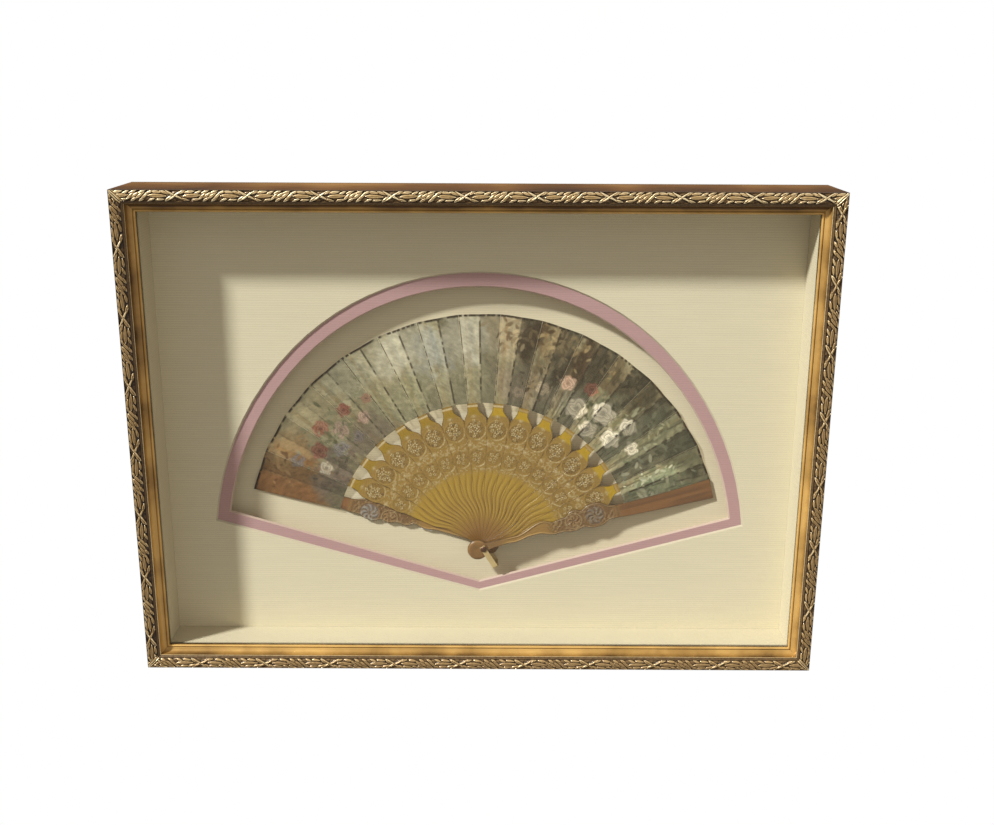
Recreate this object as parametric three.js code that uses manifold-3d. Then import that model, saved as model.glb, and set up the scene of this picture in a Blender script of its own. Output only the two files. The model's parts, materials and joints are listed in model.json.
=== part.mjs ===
// Framed folding fan: a painted pleated fan, spread open in a deep gilt shadow box behind glass.
// Millimetres, +Z up, +X to the viewer's right. The viewer stands on the -Y side.
// The origin is the middle of the bottom edge, halfway between the front and the rearmost hardware.
import * as THREE from 'three';
import Module from 'manifold-3d';
import { mergeVertices } from 'three/addons/utils/BufferGeometryUtils.js';

const wasm = await Module();
wasm.setup();

// Frame moulding: sizes run inward from its outer edge and backward from its front
const frameWidth = 686;
const frameHeight = 490;
const frameDepth = 78;
const mouldingFace = 21.4;
const rabbetWidth = 5.6;
const rabbetDepth = 15;
const ornamentWidth = 12.4;
const ornamentRise = 3;
const quirkWidth = 1;
const quirkDepth = 4.2;
const coveStart = 14.2;
const coveWidth = 5;
const coveDepth = 7.2;
const lipRoll = 0.9;
const sightDepth = 12;
const mitreGap = 0.1;

// Glass, liner walls and boards, stacked backward from the rabbet with a working gap between them
const boardGap = 0.2;
const edgeGap = 0.4;
const glassThickness = 2;
const linerThickness = 4.9;
const linerDepth = 36.4;
const topMatThickness = 1.6;
const underMatThickness = 1.6;
const spacerThickness = 12;
const spacerSetback = 9;
const mountBoardThickness = 1.6;
const backingThickness = 3;
const dustCoverThickness = 0.4;
const dustCoverMargin = 3.2;

// Fan: radii are from the rivet, angles anticlockwise from the viewer's right
const pivotX = 4;
const pivotZ = 113.7;
const fanStandoff = 2.4;
const fanLean = 1.56;
const rearGuardAngle = 163.6;
const stickPitchAngle = 9.93;
const stickCount = 14;
const stickThickness = 0.6;
const ribThickness = 0.45;
const slideGap = 0.25;
const rearGuardThickness = 1.8;
const guardBladeThickness = 1.2;
const frontGuardThickness = 2.2;
const gorgeRadius = 156;
const leafOuterRadius = 248.2;
const guardRadius = leafOuterRadius - 1;
const dishStart = 18;
const dishDepth = 8;
const gorgeSteps = 54;

// Opening in the top mat: a three-centred arch, which clears the leaf, over a shallow V
const topOpening = {
  crownHeight: 143.1,
  crownRadius: leafOuterRadius + 15.3,
  sideRadius: leafOuterRadius + 64,
  splitAngle: 45.2,
  vertexHeight: 64.1,
  leftSlope: 15.9,
  rightSlope: 15.2,
};
const bandWidth = 12.6;
const bandDrop = 2;
const bandVertexRise = 9.5;
const underLeftSlope = 16.7;
const underRightSlope = 15.5;

// Leaf: a sheet folded twice between one stick and the next
const leafThickness = 0.3;
const leafInnerRadius = gorgeRadius - 0.5;
const leafSeat = 0.8;
const pleatInner = 0.7;
const pleatOuter = 1.8;
const creaseGap = 0.06;
const creaseShift = 0.7;

// Rivet and bail
const rivetRadius = 1.5;
const rivetClearance = 0.3;
const rivetHeadRadius = 3.2;
const rivetHeadHeight = 1.1;
const knobRadius = 10.8;
const knobSetback = 6.3;
const knobRise = 1.4;
const bailThickness = 0.7;
const bailWidth = 5.6;
const bailReach = 25.5;
const bailAngle = -58;
const bailCorner = 3;

// Pads that hold the rear guard to the mounting board: radius from the rivet, across the guard, along it
const padSizes = [
  { name: 'guard_pad_inner', radius: 0.25 * leafOuterRadius, width: 7, length: 12 },
  { name: 'guard_pad_outer', radius: 0.83 * leafOuterRadius, width: 12, length: 16 },
];
const padGap = 0.2;

// Strap hangers with D-rings, and bumpers, on the back of the frame
const hangerHeight = 352;
const hangerWidth = 10;
const hangerLength = 19;
const hangerFold = 5.8;
const hangerThickness = 1.2;
const ringWire = 1.2;
const ringClearance = 0.3;
const ringInnerWidth = 11;
const ringReach = 12.5;
const bumperRadius = 5;
const bumperInset = 8;

// Places worked out from the sizes above
const railWidth = mouldingFace - rabbetWidth;
const boardInset = railWidth + edgeGap;
const glassFront = rabbetDepth + boardGap;
const linerFront = glassFront + glassThickness + boardGap;
const topMatFront = linerFront + linerDepth + boardGap;
const underMatFront = topMatFront + topMatThickness + boardGap;
const spacerFront = underMatFront + underMatThickness + boardGap;
const mountFront = spacerFront + spacerThickness + boardGap;
const backingFront = mountFront + mountBoardThickness + boardGap;
const dustCoverFront = frameDepth + boardGap / 2;
const hardwareSeat = dustCoverFront + dustCoverThickness + boardGap;
const eyeRadius = ringWire + ringClearance + hangerThickness;
const bumperThickness = 2 * eyeRadius;
const overallDepth = hardwareSeat + bumperThickness;
const stickStep = stickThickness + slideGap;
const halfPanel = stickPitchAngle / 4;
const knobFront = frontGuardThickness + knobRise;

const giltWood = new THREE.MeshStandardMaterial({ color: 0x9a7a3c, roughness: 0.45, metalness: 0.6 });
const clearGlass = new THREE.MeshStandardMaterial({
  color: 0xffffff, roughness: 0.03, metalness: 0, transparent: true, opacity: 0.15,
});
const creamBoard = new THREE.MeshStandardMaterial({ color: 0xd9ceac, roughness: 0.9, metalness: 0 });
const roseBoard = new THREE.MeshStandardMaterial({ color: 0xb58f8c, roughness: 0.9, metalness: 0 });
const whiteFoam = new THREE.MeshStandardMaterial({ color: 0xece6d6, roughness: 0.9, metalness: 0 });
const kraftPaper = new THREE.MeshStandardMaterial({ color: 0x9c7b53, roughness: 0.95, metalness: 0 });
const amberHorn = new THREE.MeshStandardMaterial({ color: 0xb8892c, roughness: 0.35, metalness: 0 });
const brownHorn = new THREE.MeshStandardMaterial({ color: 0x7d5a38, roughness: 0.4, metalness: 0 });
const paleHorn = new THREE.MeshStandardMaterial({ color: 0xc9b478, roughness: 0.4, metalness: 0 });
const paintedLeaf = new THREE.MeshStandardMaterial({ color: 0x76775c, roughness: 0.8, metalness: 0 });
const steel = new THREE.MeshStandardMaterial({ color: 0xa9a9a4, roughness: 0.35, metalness: 0.9 });
const clearRubber = new THREE.MeshStandardMaterial({ color: 0xd6d3c8, roughness: 0.5, metalness: 0 });

const radians = THREE.MathUtils.degToRad;

const object = new THREE.Group();
object.position.y = -overallDepth / 2;

function addPiece(parent, name, geometry, material) {
  const piece = new THREE.Mesh(geometry, material);
  piece.name = name;
  parent.add(piece);
  return piece;
}

// A closed body between two matching sets of loops. Loops are outer outline first, then holes.
// The near end is the one from which the plane's own axes read anticlockwise.
function spanLoops(nearLoops, farLoops, placeNear, placeFar) {
  const positions = [];
  const indices = [];
  const turned = nearLoops.map((loop, order) => THREE.ShapeUtils.isClockWise(loop) === (order === 0));
  const near = nearLoops.map((loop, order) => (turned[order] ? [...loop].reverse() : loop));
  const far = farLoops.map((loop, order) => (turned[order] ? [...loop].reverse() : loop));
  for (const point of near.flat()) positions.push(...placeNear(point));
  for (const point of far.flat()) positions.push(...placeFar(point));
  const count = near.flat().length;
  const addCap = (loops, start, outward) => {
    const flat = loops.flat();
    for (const [a, b, c] of THREE.ShapeUtils.triangulateShape(loops[0], loops.slice(1))) {
      const cross = (flat[b].x - flat[a].x) * (flat[c].y - flat[a].y)
        - (flat[b].y - flat[a].y) * (flat[c].x - flat[a].x);
      const order = (cross > 0) === outward ? [a, b, c] : [a, c, b];
      indices.push(...order.map((index) => index + start));
    }
  };
  addCap(near, 0, true);
  addCap(far, count, false);
  let first = 0;
  for (const loop of near) {
    loop.forEach((_, step) => {
      const here = first + step;
      const next = first + ((step + 1) % loop.length);
      indices.push(here, here + count, next + count, here, next + count, next);
    });
    first += loop.length;
  }
  const geometry = new THREE.BufferGeometry();
  geometry.setAttribute('position', new THREE.Float32BufferAttribute(positions, 3));
  geometry.setIndex(indices);
  geometry.computeVertexNormals();
  return geometry;
}

function toSolid(geometry) {
  const bare = new THREE.BufferGeometry();
  bare.setAttribute('position', geometry.getAttribute('position').clone());
  if (geometry.index) bare.setIndex(geometry.index.clone());
  const merged = mergeVertices(bare, 1e-4);
  return new wasm.Manifold(new wasm.Mesh({
    numProp: 3,
    vertProperties: new Float32Array(merged.getAttribute('position').array),
    triVerts: new Uint32Array(merged.index.array),
  }));
}

function fromSolid(solid) {
  const mesh = solid.getMesh();
  const geometry = new THREE.BufferGeometry();
  geometry.setAttribute('position', new THREE.BufferAttribute(new Float32Array(mesh.vertProperties), 3));
  geometry.setIndex(new THREE.BufferAttribute(new Uint32Array(mesh.triVerts), 1));
  geometry.computeVertexNormals();
  return geometry;
}

// Moulding section: a bulging ornament band, a quirk, a cove that falls to the sight edge, and the rabbet
function mouldingSection() {
  const section = [new THREE.Vector2(frameDepth, 0)];
  const bandSteps = 8;
  for (let step = 0; step <= bandSteps; step++) {
    const across = step / bandSteps;
    section.push(new THREE.Vector2(ornamentRise * (1 - Math.sin(across * Math.PI)), across * ornamentWidth));
  }
  section.push(new THREE.Vector2(quirkDepth, ornamentWidth + quirkWidth / 2));
  section.push(new THREE.Vector2(ornamentRise, coveStart - quirkWidth / 2));
  const coveSteps = 6;
  for (let step = 0; step <= coveSteps; step++) {
    const turn = (step / coveSteps) * (Math.PI / 2);
    const depth = ornamentRise + 0.4 + coveDepth * Math.sin(turn);
    section.push(new THREE.Vector2(depth, coveStart + coveWidth * (1 - Math.cos(turn))));
  }
  section.push(new THREE.Vector2(sightDepth - lipRoll, mouldingFace - lipRoll));
  section.push(new THREE.Vector2(sightDepth, mouldingFace));
  section.push(new THREE.Vector2(rabbetDepth, mouldingFace));
  section.push(new THREE.Vector2(rabbetDepth, railWidth));
  section.push(new THREE.Vector2(frameDepth, railWidth));
  return section;
}

function mitredRail(length) {
  const section = mouldingSection();
  const half = length / 2 - mitreGap;
  const placeRight = (point) => [half - point.y, point.x, point.y];
  const placeLeft = (point) => [point.y - half, point.x, point.y];
  return spanLoops([section], [section], placeRight, placeLeft);
}

function addFrame() {
  const rails = [
    { name: 'frame_rail_bottom', length: frameWidth, x: 0, z: 0, turn: 0 },
    { name: 'frame_rail_left', length: frameHeight, x: -frameWidth / 2, z: frameHeight / 2, turn: 90 },
    { name: 'frame_rail_top', length: frameWidth, x: 0, z: frameHeight, turn: 180 },
    { name: 'frame_rail_right', length: frameHeight, x: frameWidth / 2, z: frameHeight / 2, turn: 270 },
  ];
  for (const rail of rails) {
    const piece = addPiece(object, rail.name, mitredRail(rail.length), giltWood);
    piece.position.set(rail.x, 0, rail.z);
    piece.rotation.y = radians(rail.turn);
  }
}

function rectangle(inset) {
  const right = frameWidth / 2 - inset;
  return [
    new THREE.Vector2(-right, inset),
    new THREE.Vector2(right, inset),
    new THREE.Vector2(right, frameHeight - inset),
    new THREE.Vector2(-right, frameHeight - inset),
  ];
}

function plate(frontLoops, backLoops, front, thickness) {
  const placeFront = (point) => [point.x, front, point.y];
  const placeBack = (point) => [point.x, front + thickness, point.y];
  return spanLoops(frontLoops, backLoops, placeFront, placeBack);
}

// Points of an opening, drawn in by inset: left corner, over the arch, right corner, then the V's vertex
function openingOutline(opening, inset) {
  const crown = opening.crownRadius - inset;
  const side = opening.sideRadius - inset;
  const shift = opening.sideRadius - opening.crownRadius;
  const split = radians(opening.splitAngle);
  const sideCentreX = shift * Math.sin(split);
  const sideCentreZ = opening.crownHeight - shift * Math.cos(split);
  const cornerTurn = (slope) => {
    const rise = Math.tan(radians(slope));
    const vertex = opening.vertexHeight + inset * Math.hypot(1, rise);
    const reach = (vertex - rise * sideCentreX - sideCentreZ) / (side * Math.hypot(1, rise));
    return Math.acos(reach) - Math.atan(rise);
  };
  const points = [];
  const sideSteps = 9;
  const crownSteps = 22;
  const leftTurn = cornerTurn(opening.leftSlope);
  for (let step = 0; step < sideSteps; step++) {
    const turn = leftTurn + (split - leftTurn) * (step / sideSteps);
    points.push(new THREE.Vector2(sideCentreX - side * Math.sin(turn), sideCentreZ + side * Math.cos(turn)));
  }
  for (let step = 0; step <= crownSteps; step++) {
    const turn = -split + 2 * split * (step / crownSteps);
    points.push(new THREE.Vector2(crown * Math.sin(turn), opening.crownHeight + crown * Math.cos(turn)));
  }
  const rightTurn = cornerTurn(opening.rightSlope);
  for (let step = 1; step <= sideSteps; step++) {
    const turn = split + (rightTurn - split) * (step / sideSteps);
    points.push(new THREE.Vector2(side * Math.sin(turn) - sideCentreX, sideCentreZ + side * Math.cos(turn)));
  }
  const lowering = (opening.leftSlope + opening.rightSlope) / 2;
  const vertexRise = inset * Math.hypot(1, Math.tan(radians(lowering)));
  points.push(new THREE.Vector2(0, opening.vertexHeight + vertexRise));
  return points;
}

const underOpening = {
  crownHeight: topOpening.crownHeight - bandDrop,
  crownRadius: topOpening.crownRadius - bandWidth,
  sideRadius: topOpening.sideRadius - bandWidth,
  splitAngle: topOpening.splitAngle,
  vertexHeight: topOpening.vertexHeight + bandVertexRise,
  leftSlope: underLeftSlope,
  rightSlope: underRightSlope,
};

function addBoards() {
  const edge = rectangle(boardInset);
  addPiece(object, 'glass', plate([edge], [edge], glassFront, glassThickness), clearGlass);
  addPiece(object, 'top_mat', plate(
    [edge, openingOutline(topOpening, 0)],
    [edge, openingOutline(topOpening, topMatThickness)],
    topMatFront, topMatThickness,
  ), creamBoard);
  addPiece(object, 'under_mat', plate(
    [edge, openingOutline(underOpening, 0)],
    [edge, openingOutline(underOpening, underMatThickness)],
    underMatFront, underMatThickness,
  ), roseBoard);
  const spacerHole = openingOutline(underOpening, -spacerSetback);
  addPiece(object, 'mat_spacer', plate([edge, spacerHole], [edge, spacerHole], spacerFront, spacerThickness),
    whiteFoam);
  addPiece(object, 'mounting_board', plate([edge], [edge], mountFront, mountBoardThickness), creamBoard);
  addPiece(object, 'backing_board', plate([edge], [edge], backingFront, backingThickness), whiteFoam);
  const coverEdge = rectangle(dustCoverMargin);
  addPiece(object, 'dust_cover', plate([coverEdge], [coverEdge], dustCoverFront, dustCoverThickness),
    kraftPaper);
}

function addLiners() {
  const innerWidth = frameWidth - 2 * boardInset;
  const innerHeight = frameHeight - 2 * boardInset;
  const middle = linerFront + linerDepth / 2;
  const sideHeight = innerHeight - 2 * (linerThickness + boardGap);
  const longWall = new THREE.BoxGeometry(innerWidth, linerDepth, linerThickness);
  const sideWall = new THREE.BoxGeometry(linerThickness, linerDepth, sideHeight);
  const across = innerWidth / 2 - linerThickness / 2;
  const up = innerHeight / 2 - linerThickness / 2;
  addPiece(object, 'liner_top', longWall, creamBoard).position.set(0, middle, frameHeight / 2 + up);
  addPiece(object, 'liner_bottom', longWall, creamBoard).position.set(0, middle, frameHeight / 2 - up);
  addPiece(object, 'liner_left', sideWall, creamBoard).position.set(-across, middle, frameHeight / 2);
  addPiece(object, 'liner_right', sideWall, creamBoard).position.set(across, middle, frameHeight / 2);
}

// The blades are dished back from the rivet, so that the leaf lies close to the mounting board
function dish(radius) {
  return Math.max(0, radius - dishStart) * (dishDepth / (leafOuterRadius - dishStart));
}

function interpolate(stations, radius) {
  for (let index = 1; index < stations.length; index++) {
    const [startRadius, startValue] = stations[index - 1];
    const [endRadius, endValue] = stations[index];
    if (radius <= endRadius) {
      const share = Math.max(0, (radius - startRadius) / (endRadius - startRadius));
      const eased = share * share * (3 - 2 * share);
      return startValue + (endValue - startValue) * eased;
    }
  }
  return stations[stations.length - 1][1];
}

// How far a blade's edge stands out from its centre line: its tapered body, or the scalloped lobe that
// stands wider there. Stations and lobes are placed by their share of the gorge's radius.
function edgeOffset(edge, radius) {
  const share = radius / gorgeRadius;
  let offset = interpolate(edge.body, share);
  for (const lobe of edge.lobes) {
    const along = (share - lobe.centre) / lobe.reach;
    if (Math.abs(along) < 1) offset = Math.max(offset, lobe.offset * Math.sqrt(1 - along * along));
  }
  return offset;
}

// A stick or guard that points up from the rivet, with a round head that reaches past the rivet.
// Its back lies on the y = 0 plane at the rivet, and cross rows carry the dish and the thickness.
function bladeGeometry(blade) {
  const start = rivetRadius + rivetClearance + 1.2;
  const chord = (radius) => Math.sqrt(Math.max(0, blade.headRadius ** 2 - (radius + blade.headSetback) ** 2));
  const rows = [];
  for (let step = 0; step <= gorgeSteps; step++) {
    rows.push(start + (gorgeRadius - start) * (step / gorgeSteps));
  }
  rows.push(...blade.outerRows);
  const right = [];
  const left = [];
  for (const radius of rows) {
    const sway = interpolate(blade.sway, radius / gorgeRadius);
    const rightOffset = Math.max(edgeOffset(blade.rightEdge, radius) + sway, chord(radius));
    const leftOffset = Math.max(edgeOffset(blade.leftEdge, radius) - sway, chord(radius));
    right.push(new THREE.Vector2(rightOffset, radius));
    left.unshift(new THREE.Vector2(-leftOffset, radius));
  }
  const head = [];
  const headSteps = 14;
  const headTurn = Math.PI - Math.asin(chord(start) / blade.headRadius);
  for (let step = 1; step < headSteps; step++) {
    const turn = -headTurn + 2 * headTurn * (step / headSteps);
    const x = blade.headRadius * Math.sin(turn);
    head.push(new THREE.Vector2(x, -blade.headSetback - blade.headRadius * Math.cos(turn)));
  }
  const path = new THREE.Path();
  path.absarc(0, 0, rivetRadius + rivetClearance, 0, 2 * Math.PI, true);
  const hole = path.getPoints(7).slice(0, -1);
  const outline = [...right, ...left, ...head];
  const points = [...outline, ...hole];
  const faces = [];
  const last = 2 * rows.length - 1;
  for (let row = 0; row < rows.length - 1; row++) {
    faces.push([row, row + 1, last - row - 1], [row, last - row - 1, last - row]);
  }
  const headIndices = [0, ...outline.keys()].filter((index) => index >= last || index === 0).slice(1);
  const holeIndices = [...hole.keys()].map((index) => index + outline.length);
  const capIndices = [...headIndices, ...holeIndices];
  for (const face of THREE.ShapeUtils.triangulateShape(headIndices.map((index) => points[index]), [hole])) {
    faces.push(face.map((index) => capIndices[index]));
  }
  const positions = [];
  for (const point of points) {
    const thickness = interpolate(blade.thickness, point.y / gorgeRadius);
    positions.push(point.x, dish(point.length()) - thickness, point.y);
  }
  for (const point of points) {
    positions.push(point.x, dish(point.length()), point.y);
  }
  const count = points.length;
  const indices = [];
  for (const [a, b, c] of faces) {
    indices.push(a, b, c, a + count, c + count, b + count);
  }
  for (const [first, length] of [[0, outline.length], [outline.length, hole.length]]) {
    for (let step = 0; step < length; step++) {
      const here = first + step;
      const next = first + ((step + 1) % length);
      indices.push(here, here + count, next + count, here, next + count, next);
    }
  }
  const geometry = new THREE.BufferGeometry();
  geometry.setAttribute('position', new THREE.Float32BufferAttribute(positions, 3));
  geometry.setIndex(indices);
  geometry.computeVertexNormals();
  return geometry;
}

const tipShare = leafOuterRadius / gorgeRadius;
const stickEdge = {
  body: [[0, 4.2], [0.13, 3.5], [0.25, 3.8], [0.375, 5.6], [0.52, 7.6], [0.71, 9.9], [0.875, 11.7],
    [0.955, 5.4], [1, 5.2], [1.045, 2.6], [tipShare, 1.8]],
  lobes: [
    { centre: 0.5, reach: 0.05, offset: 7.9 },
    { centre: 0.625, reach: 0.065, offset: 10 },
    { centre: 0.805, reach: 0.077, offset: 12 },
  ],
};
const stickBlade = {
  rightEdge: stickEdge,
  leftEdge: stickEdge,
  sway: [[0, 0], [0.08, 1.2], [0.26, 1.4], [0.375, -0.4], [0.52, 1.2], [0.71, 1.6], [0.89, 1.6], [0.965, -0.4],
    [1, -0.4], [1.045, 0]],
  headRadius: 8.5,
  headSetback: 2,
  thickness: [[0, stickThickness], [0.955, stickThickness], [0.985, ribThickness]],
  outerRows: [1.02 * gorgeRadius, 1.045 * gorgeRadius, (gorgeRadius + leafOuterRadius) / 2, leafOuterRadius - 3],
};

// Along the leaf a guard is a full panel wide. Below it the guards bend and swell towards the sticks.
const panelHalf = Math.tan(radians(halfPanel));
const guardMiddle = (gorgeRadius + guardRadius) / 2;
const guardOuterRows = [guardMiddle, guardRadius];
const guardTail = [[guardMiddle / gorgeRadius, guardMiddle * panelHalf], [tipShare, leafOuterRadius * panelHalf]];

const frontGuardOuter = {
  body: [[0, 3], [0.1, 1.7], [0.16, 1.4], [0.22, 2.4], [0.36, -0.9], [0.5, 5.1], [0.91, 4.4], [1, 5.9],
    ...guardTail],
  lobes: [
    { centre: 0.5, reach: 0.045, offset: 5.4 },
    { centre: 0.625, reach: 0.095, offset: 7.1 },
    { centre: 0.782, reach: 0.1, offset: 9 },
  ],
};
const frontGuardInner = {
  body: [[0, 5.3], [0.13, 4.8], [0.23, 4.3], [0.43, 12.8], [0.5, 8.6], [0.55, 10], [0.89, 10.6], [0.95, 9],
    [1, 8.6], ...guardTail],
  lobes: [
    { centre: 0.65, reach: 0.078, offset: 15.8 },
    { centre: 0.787, reach: 0.118, offset: 17.9 },
  ],
};
const rearGuardOuter = {
  body: [[0, 1], [0.06, -2], [0.24, -3.6], [0.41, 2.2], [0.5, -0.3], [0.57, 3.4], [0.92, 6.4], [1, 5.4],
    ...guardTail],
  lobes: [
    { centre: 0.555, reach: 0.052, offset: 4.5 },
    { centre: 0.665, reach: 0.062, offset: 6.5 },
    { centre: 0.79, reach: 0.085, offset: 9.4 },
  ],
};
const rearGuardInner = {
  body: [[0, 5.3], [0.13, 7.4], [0.24, 9], [0.43, 13], [0.52, 9.5], [0.84, 12.2], [0.94, 8], [1.03, 7.8],
    ...guardTail],
  lobes: [
    { centre: 0.65, reach: 0.078, offset: 15 },
    { centre: 0.78, reach: 0.09, offset: 15.5 },
  ],
};

function guardBlade(rightEdge, leftEdge, thickness) {
  return {
    rightEdge,
    leftEdge,
    sway: [[0, 0]],
    headRadius: knobRadius,
    headSetback: knobSetback,
    thickness: [[0, thickness], [0.925, thickness], [0.95, guardBladeThickness]],
    outerRows: guardOuterRows,
  };
}

function rivetHole() {
  const hole = new THREE.CylinderGeometry(rivetRadius + rivetClearance, rivetRadius + rivetClearance, 60, 14);
  return toSolid(hole);
}

function frontGuardGeometry() {
  const profile = [new THREE.Vector2(0, -frontGuardThickness / 2)];
  profile.push(new THREE.Vector2(knobRadius, -frontGuardThickness / 2));
  const steps = 4;
  for (let step = 0; step <= steps; step++) {
    const turn = (step / steps) * (Math.PI / 2);
    const out = knobRadius - knobRise * (1 - Math.cos(turn));
    profile.push(new THREE.Vector2(out, -frontGuardThickness - knobRise * Math.sin(turn)));
  }
  profile.push(new THREE.Vector2(0, -frontGuardThickness - knobRise));
  const knob = toSolid(new THREE.LatheGeometry(profile.reverse(), 32)).translate([0, 0, -knobSetback]);
  const blade = toSolid(bladeGeometry(guardBlade(frontGuardOuter, frontGuardInner, frontGuardThickness)));
  return fromSolid(blade.add(knob).subtract(rivetHole()));
}

const fan = new THREE.Group();
fan.position.set(pivotX, mountFront - fanStandoff, pivotZ);
fan.rotation.z = radians(fanLean);
object.add(fan);

function memberAngle(member) {
  return rearGuardAngle - member * stickPitchAngle;
}

function memberLayer(member) {
  return member === 0 ? 0 : rearGuardThickness + slideGap + (member - 1) * stickStep;
}

function placeMember(piece, member) {
  piece.position.y = -memberLayer(member);
  piece.rotation.y = radians(90 - memberAngle(member));
  return piece;
}

const frontMember = stickCount + 1;
const twoDigits = (number) => String(number).padStart(2, '0');

function addSticks() {
  const rear = bladeGeometry(guardBlade(rearGuardInner, rearGuardOuter, rearGuardThickness));
  placeMember(addPiece(fan, 'rear_guard', rear, brownHorn), 0);
  for (let member = 1; member <= stickCount; member++) {
    placeMember(addPiece(fan, `stick_${twoDigits(member)}`, bladeGeometry(stickBlade), amberHorn), member);
  }
  placeMember(addPiece(fan, 'front_guard', frontGuardGeometry(), brownHorn), frontMember);
}

// One pleat: the panel glued over its own stick, which falls away from a ridge, and the panel that
// climbs from the valley beside it to the ridge over the next stick
function pleatGeometry(member) {
  const section = (radius) => {
    const share = (radius - leafInnerRadius) / (leafOuterRadius - leafInnerRadius);
    const wave = (pleatInner + (pleatOuter - pleatInner) * share) / 2;
    const onGuard = member === 0;
    const ridge = onGuard ? guardBladeThickness + slideGap : leafSeat + wave;
    const valley = onGuard ? guardBladeThickness + slideGap : leafSeat - wave;
    const step = memberLayer(member + 1) - memberLayer(member);
    const underGuard = member + 1 === frontMember;
    const nextRidge = underGuard ? step - slideGap - leafThickness : step + leafSeat + wave;
    const nextEdge = underGuard ? 3 * halfPanel + 1 : 3 * halfPanel + creaseShift - creaseGap;
    const firstEdge = onGuard ? -halfPanel : creaseShift - halfPanel;
    const folds = [[firstEdge, ridge], [halfPanel + creaseShift, valley], [nextEdge, nextRidge]];
    const front = folds.map(([angle, height]) => new THREE.Vector2(angle, height + leafThickness));
    const back = folds.map(([angle, height]) => new THREE.Vector2(angle, height));
    return [...back, ...front.reverse()];
  };
  const placeAt = (radius) => (point) => {
    const turn = radians(point.x);
    return [radius * Math.sin(turn), dish(radius) - point.y, radius * Math.cos(turn)];
  };
  return spanLoops(
    [section(leafInnerRadius)], [section(leafOuterRadius)],
    placeAt(leafInnerRadius), placeAt(leafOuterRadius),
  );
}

function addLeaf() {
  for (let member = 0; member <= stickCount; member++) {
    const name = `leaf_pleat_${twoDigits(member + 1)}`;
    placeMember(addPiece(fan, name, pleatGeometry(member), paintedLeaf), member);
  }
}

function addRivet() {
  const front = -memberLayer(frontMember) - knobFront - slideGap - bailThickness - slideGap;
  const rear = slideGap + bailThickness + slideGap;
  const profile = [
    new THREE.Vector2(0, rear + rivetHeadHeight * 0.6),
    new THREE.Vector2(rivetHeadRadius * 0.8, rear + rivetHeadHeight * 0.6),
    new THREE.Vector2(rivetHeadRadius * 0.8, rear),
    new THREE.Vector2(rivetRadius, rear),
    new THREE.Vector2(rivetRadius, front),
    new THREE.Vector2(rivetHeadRadius, front),
    new THREE.Vector2(rivetHeadRadius * 0.75, front - rivetHeadHeight * 0.7),
    new THREE.Vector2(0, front - rivetHeadHeight),
  ];
  addPiece(fan, 'rivet', new THREE.LatheGeometry(profile.reverse(), 24), brownHorn);
}

// U-shaped strap: both legs ride on the rivet, outside the guards
function addBail() {
  const frontLeg = -memberLayer(frontMember) - knobFront - slideGap - bailThickness;
  const rearLeg = slideGap + bailThickness;
  const eye = bailWidth / 2 + 0.4;
  const shape = new THREE.Shape();
  shape.moveTo(frontLeg, -eye);
  shape.lineTo(frontLeg, bailReach - bailCorner);
  shape.absarc(frontLeg + bailCorner, bailReach - bailCorner, bailCorner, Math.PI, Math.PI / 2, true);
  shape.absarc(rearLeg - bailCorner, bailReach - bailCorner, bailCorner, Math.PI / 2, 0, true);
  shape.lineTo(rearLeg, -eye);
  shape.lineTo(rearLeg - bailThickness, -eye);
  const inner = bailCorner - bailThickness;
  shape.absarc(rearLeg - bailCorner, bailReach - bailCorner, inner, 0, Math.PI / 2, false);
  shape.absarc(frontLeg + bailCorner, bailReach - bailCorner, inner, Math.PI / 2, Math.PI, false);
  shape.lineTo(frontLeg + bailThickness, -eye);
  const strap = new THREE.ExtrudeGeometry(shape, { depth: bailWidth, bevelEnabled: false, curveSegments: 5 });
  strap.translate(0, 0, -bailWidth / 2);
  const place = new THREE.Matrix4().makeBasis(
    new THREE.Vector3(0, 1, 0), new THREE.Vector3(0, 0, 1), new THREE.Vector3(1, 0, 0),
  );
  strap.applyMatrix4(place);
  const bail = addPiece(fan, 'bail', fromSolid(toSolid(strap).subtract(rivetHole())), paleHorn);
  bail.rotation.y = radians(90 - bailAngle);
}

// Each pad fills the wedge between the dished rear guard and the mounting board
function addPads() {
  fan.updateMatrixWorld(true);
  for (const pad of padSizes) {
    const angle = radians(memberAngle(0));
    const across = pad.radius * Math.cos(angle);
    const local = new THREE.Vector3(across, dish(pad.radius), pad.radius * Math.sin(angle));
    const back = local.applyEuler(fan.rotation).add(fan.position);
    const dishSlope = dishDepth / (leafOuterRadius - dishStart);
    const slope = (pad.length / 2) * Math.abs(dishSlope + Math.sin(radians(fanLean)) * Math.cos(angle));
    const thickness = mountFront - back.y - 2 * padGap - slope;
    const solid = new THREE.BoxGeometry(pad.length, thickness, pad.width);
    const piece = addPiece(object, pad.name, solid, clearRubber);
    piece.position.set(back.x, mountFront - padGap - thickness / 2, back.z);
    piece.rotation.y = Math.PI - angle;
  }
}

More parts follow.
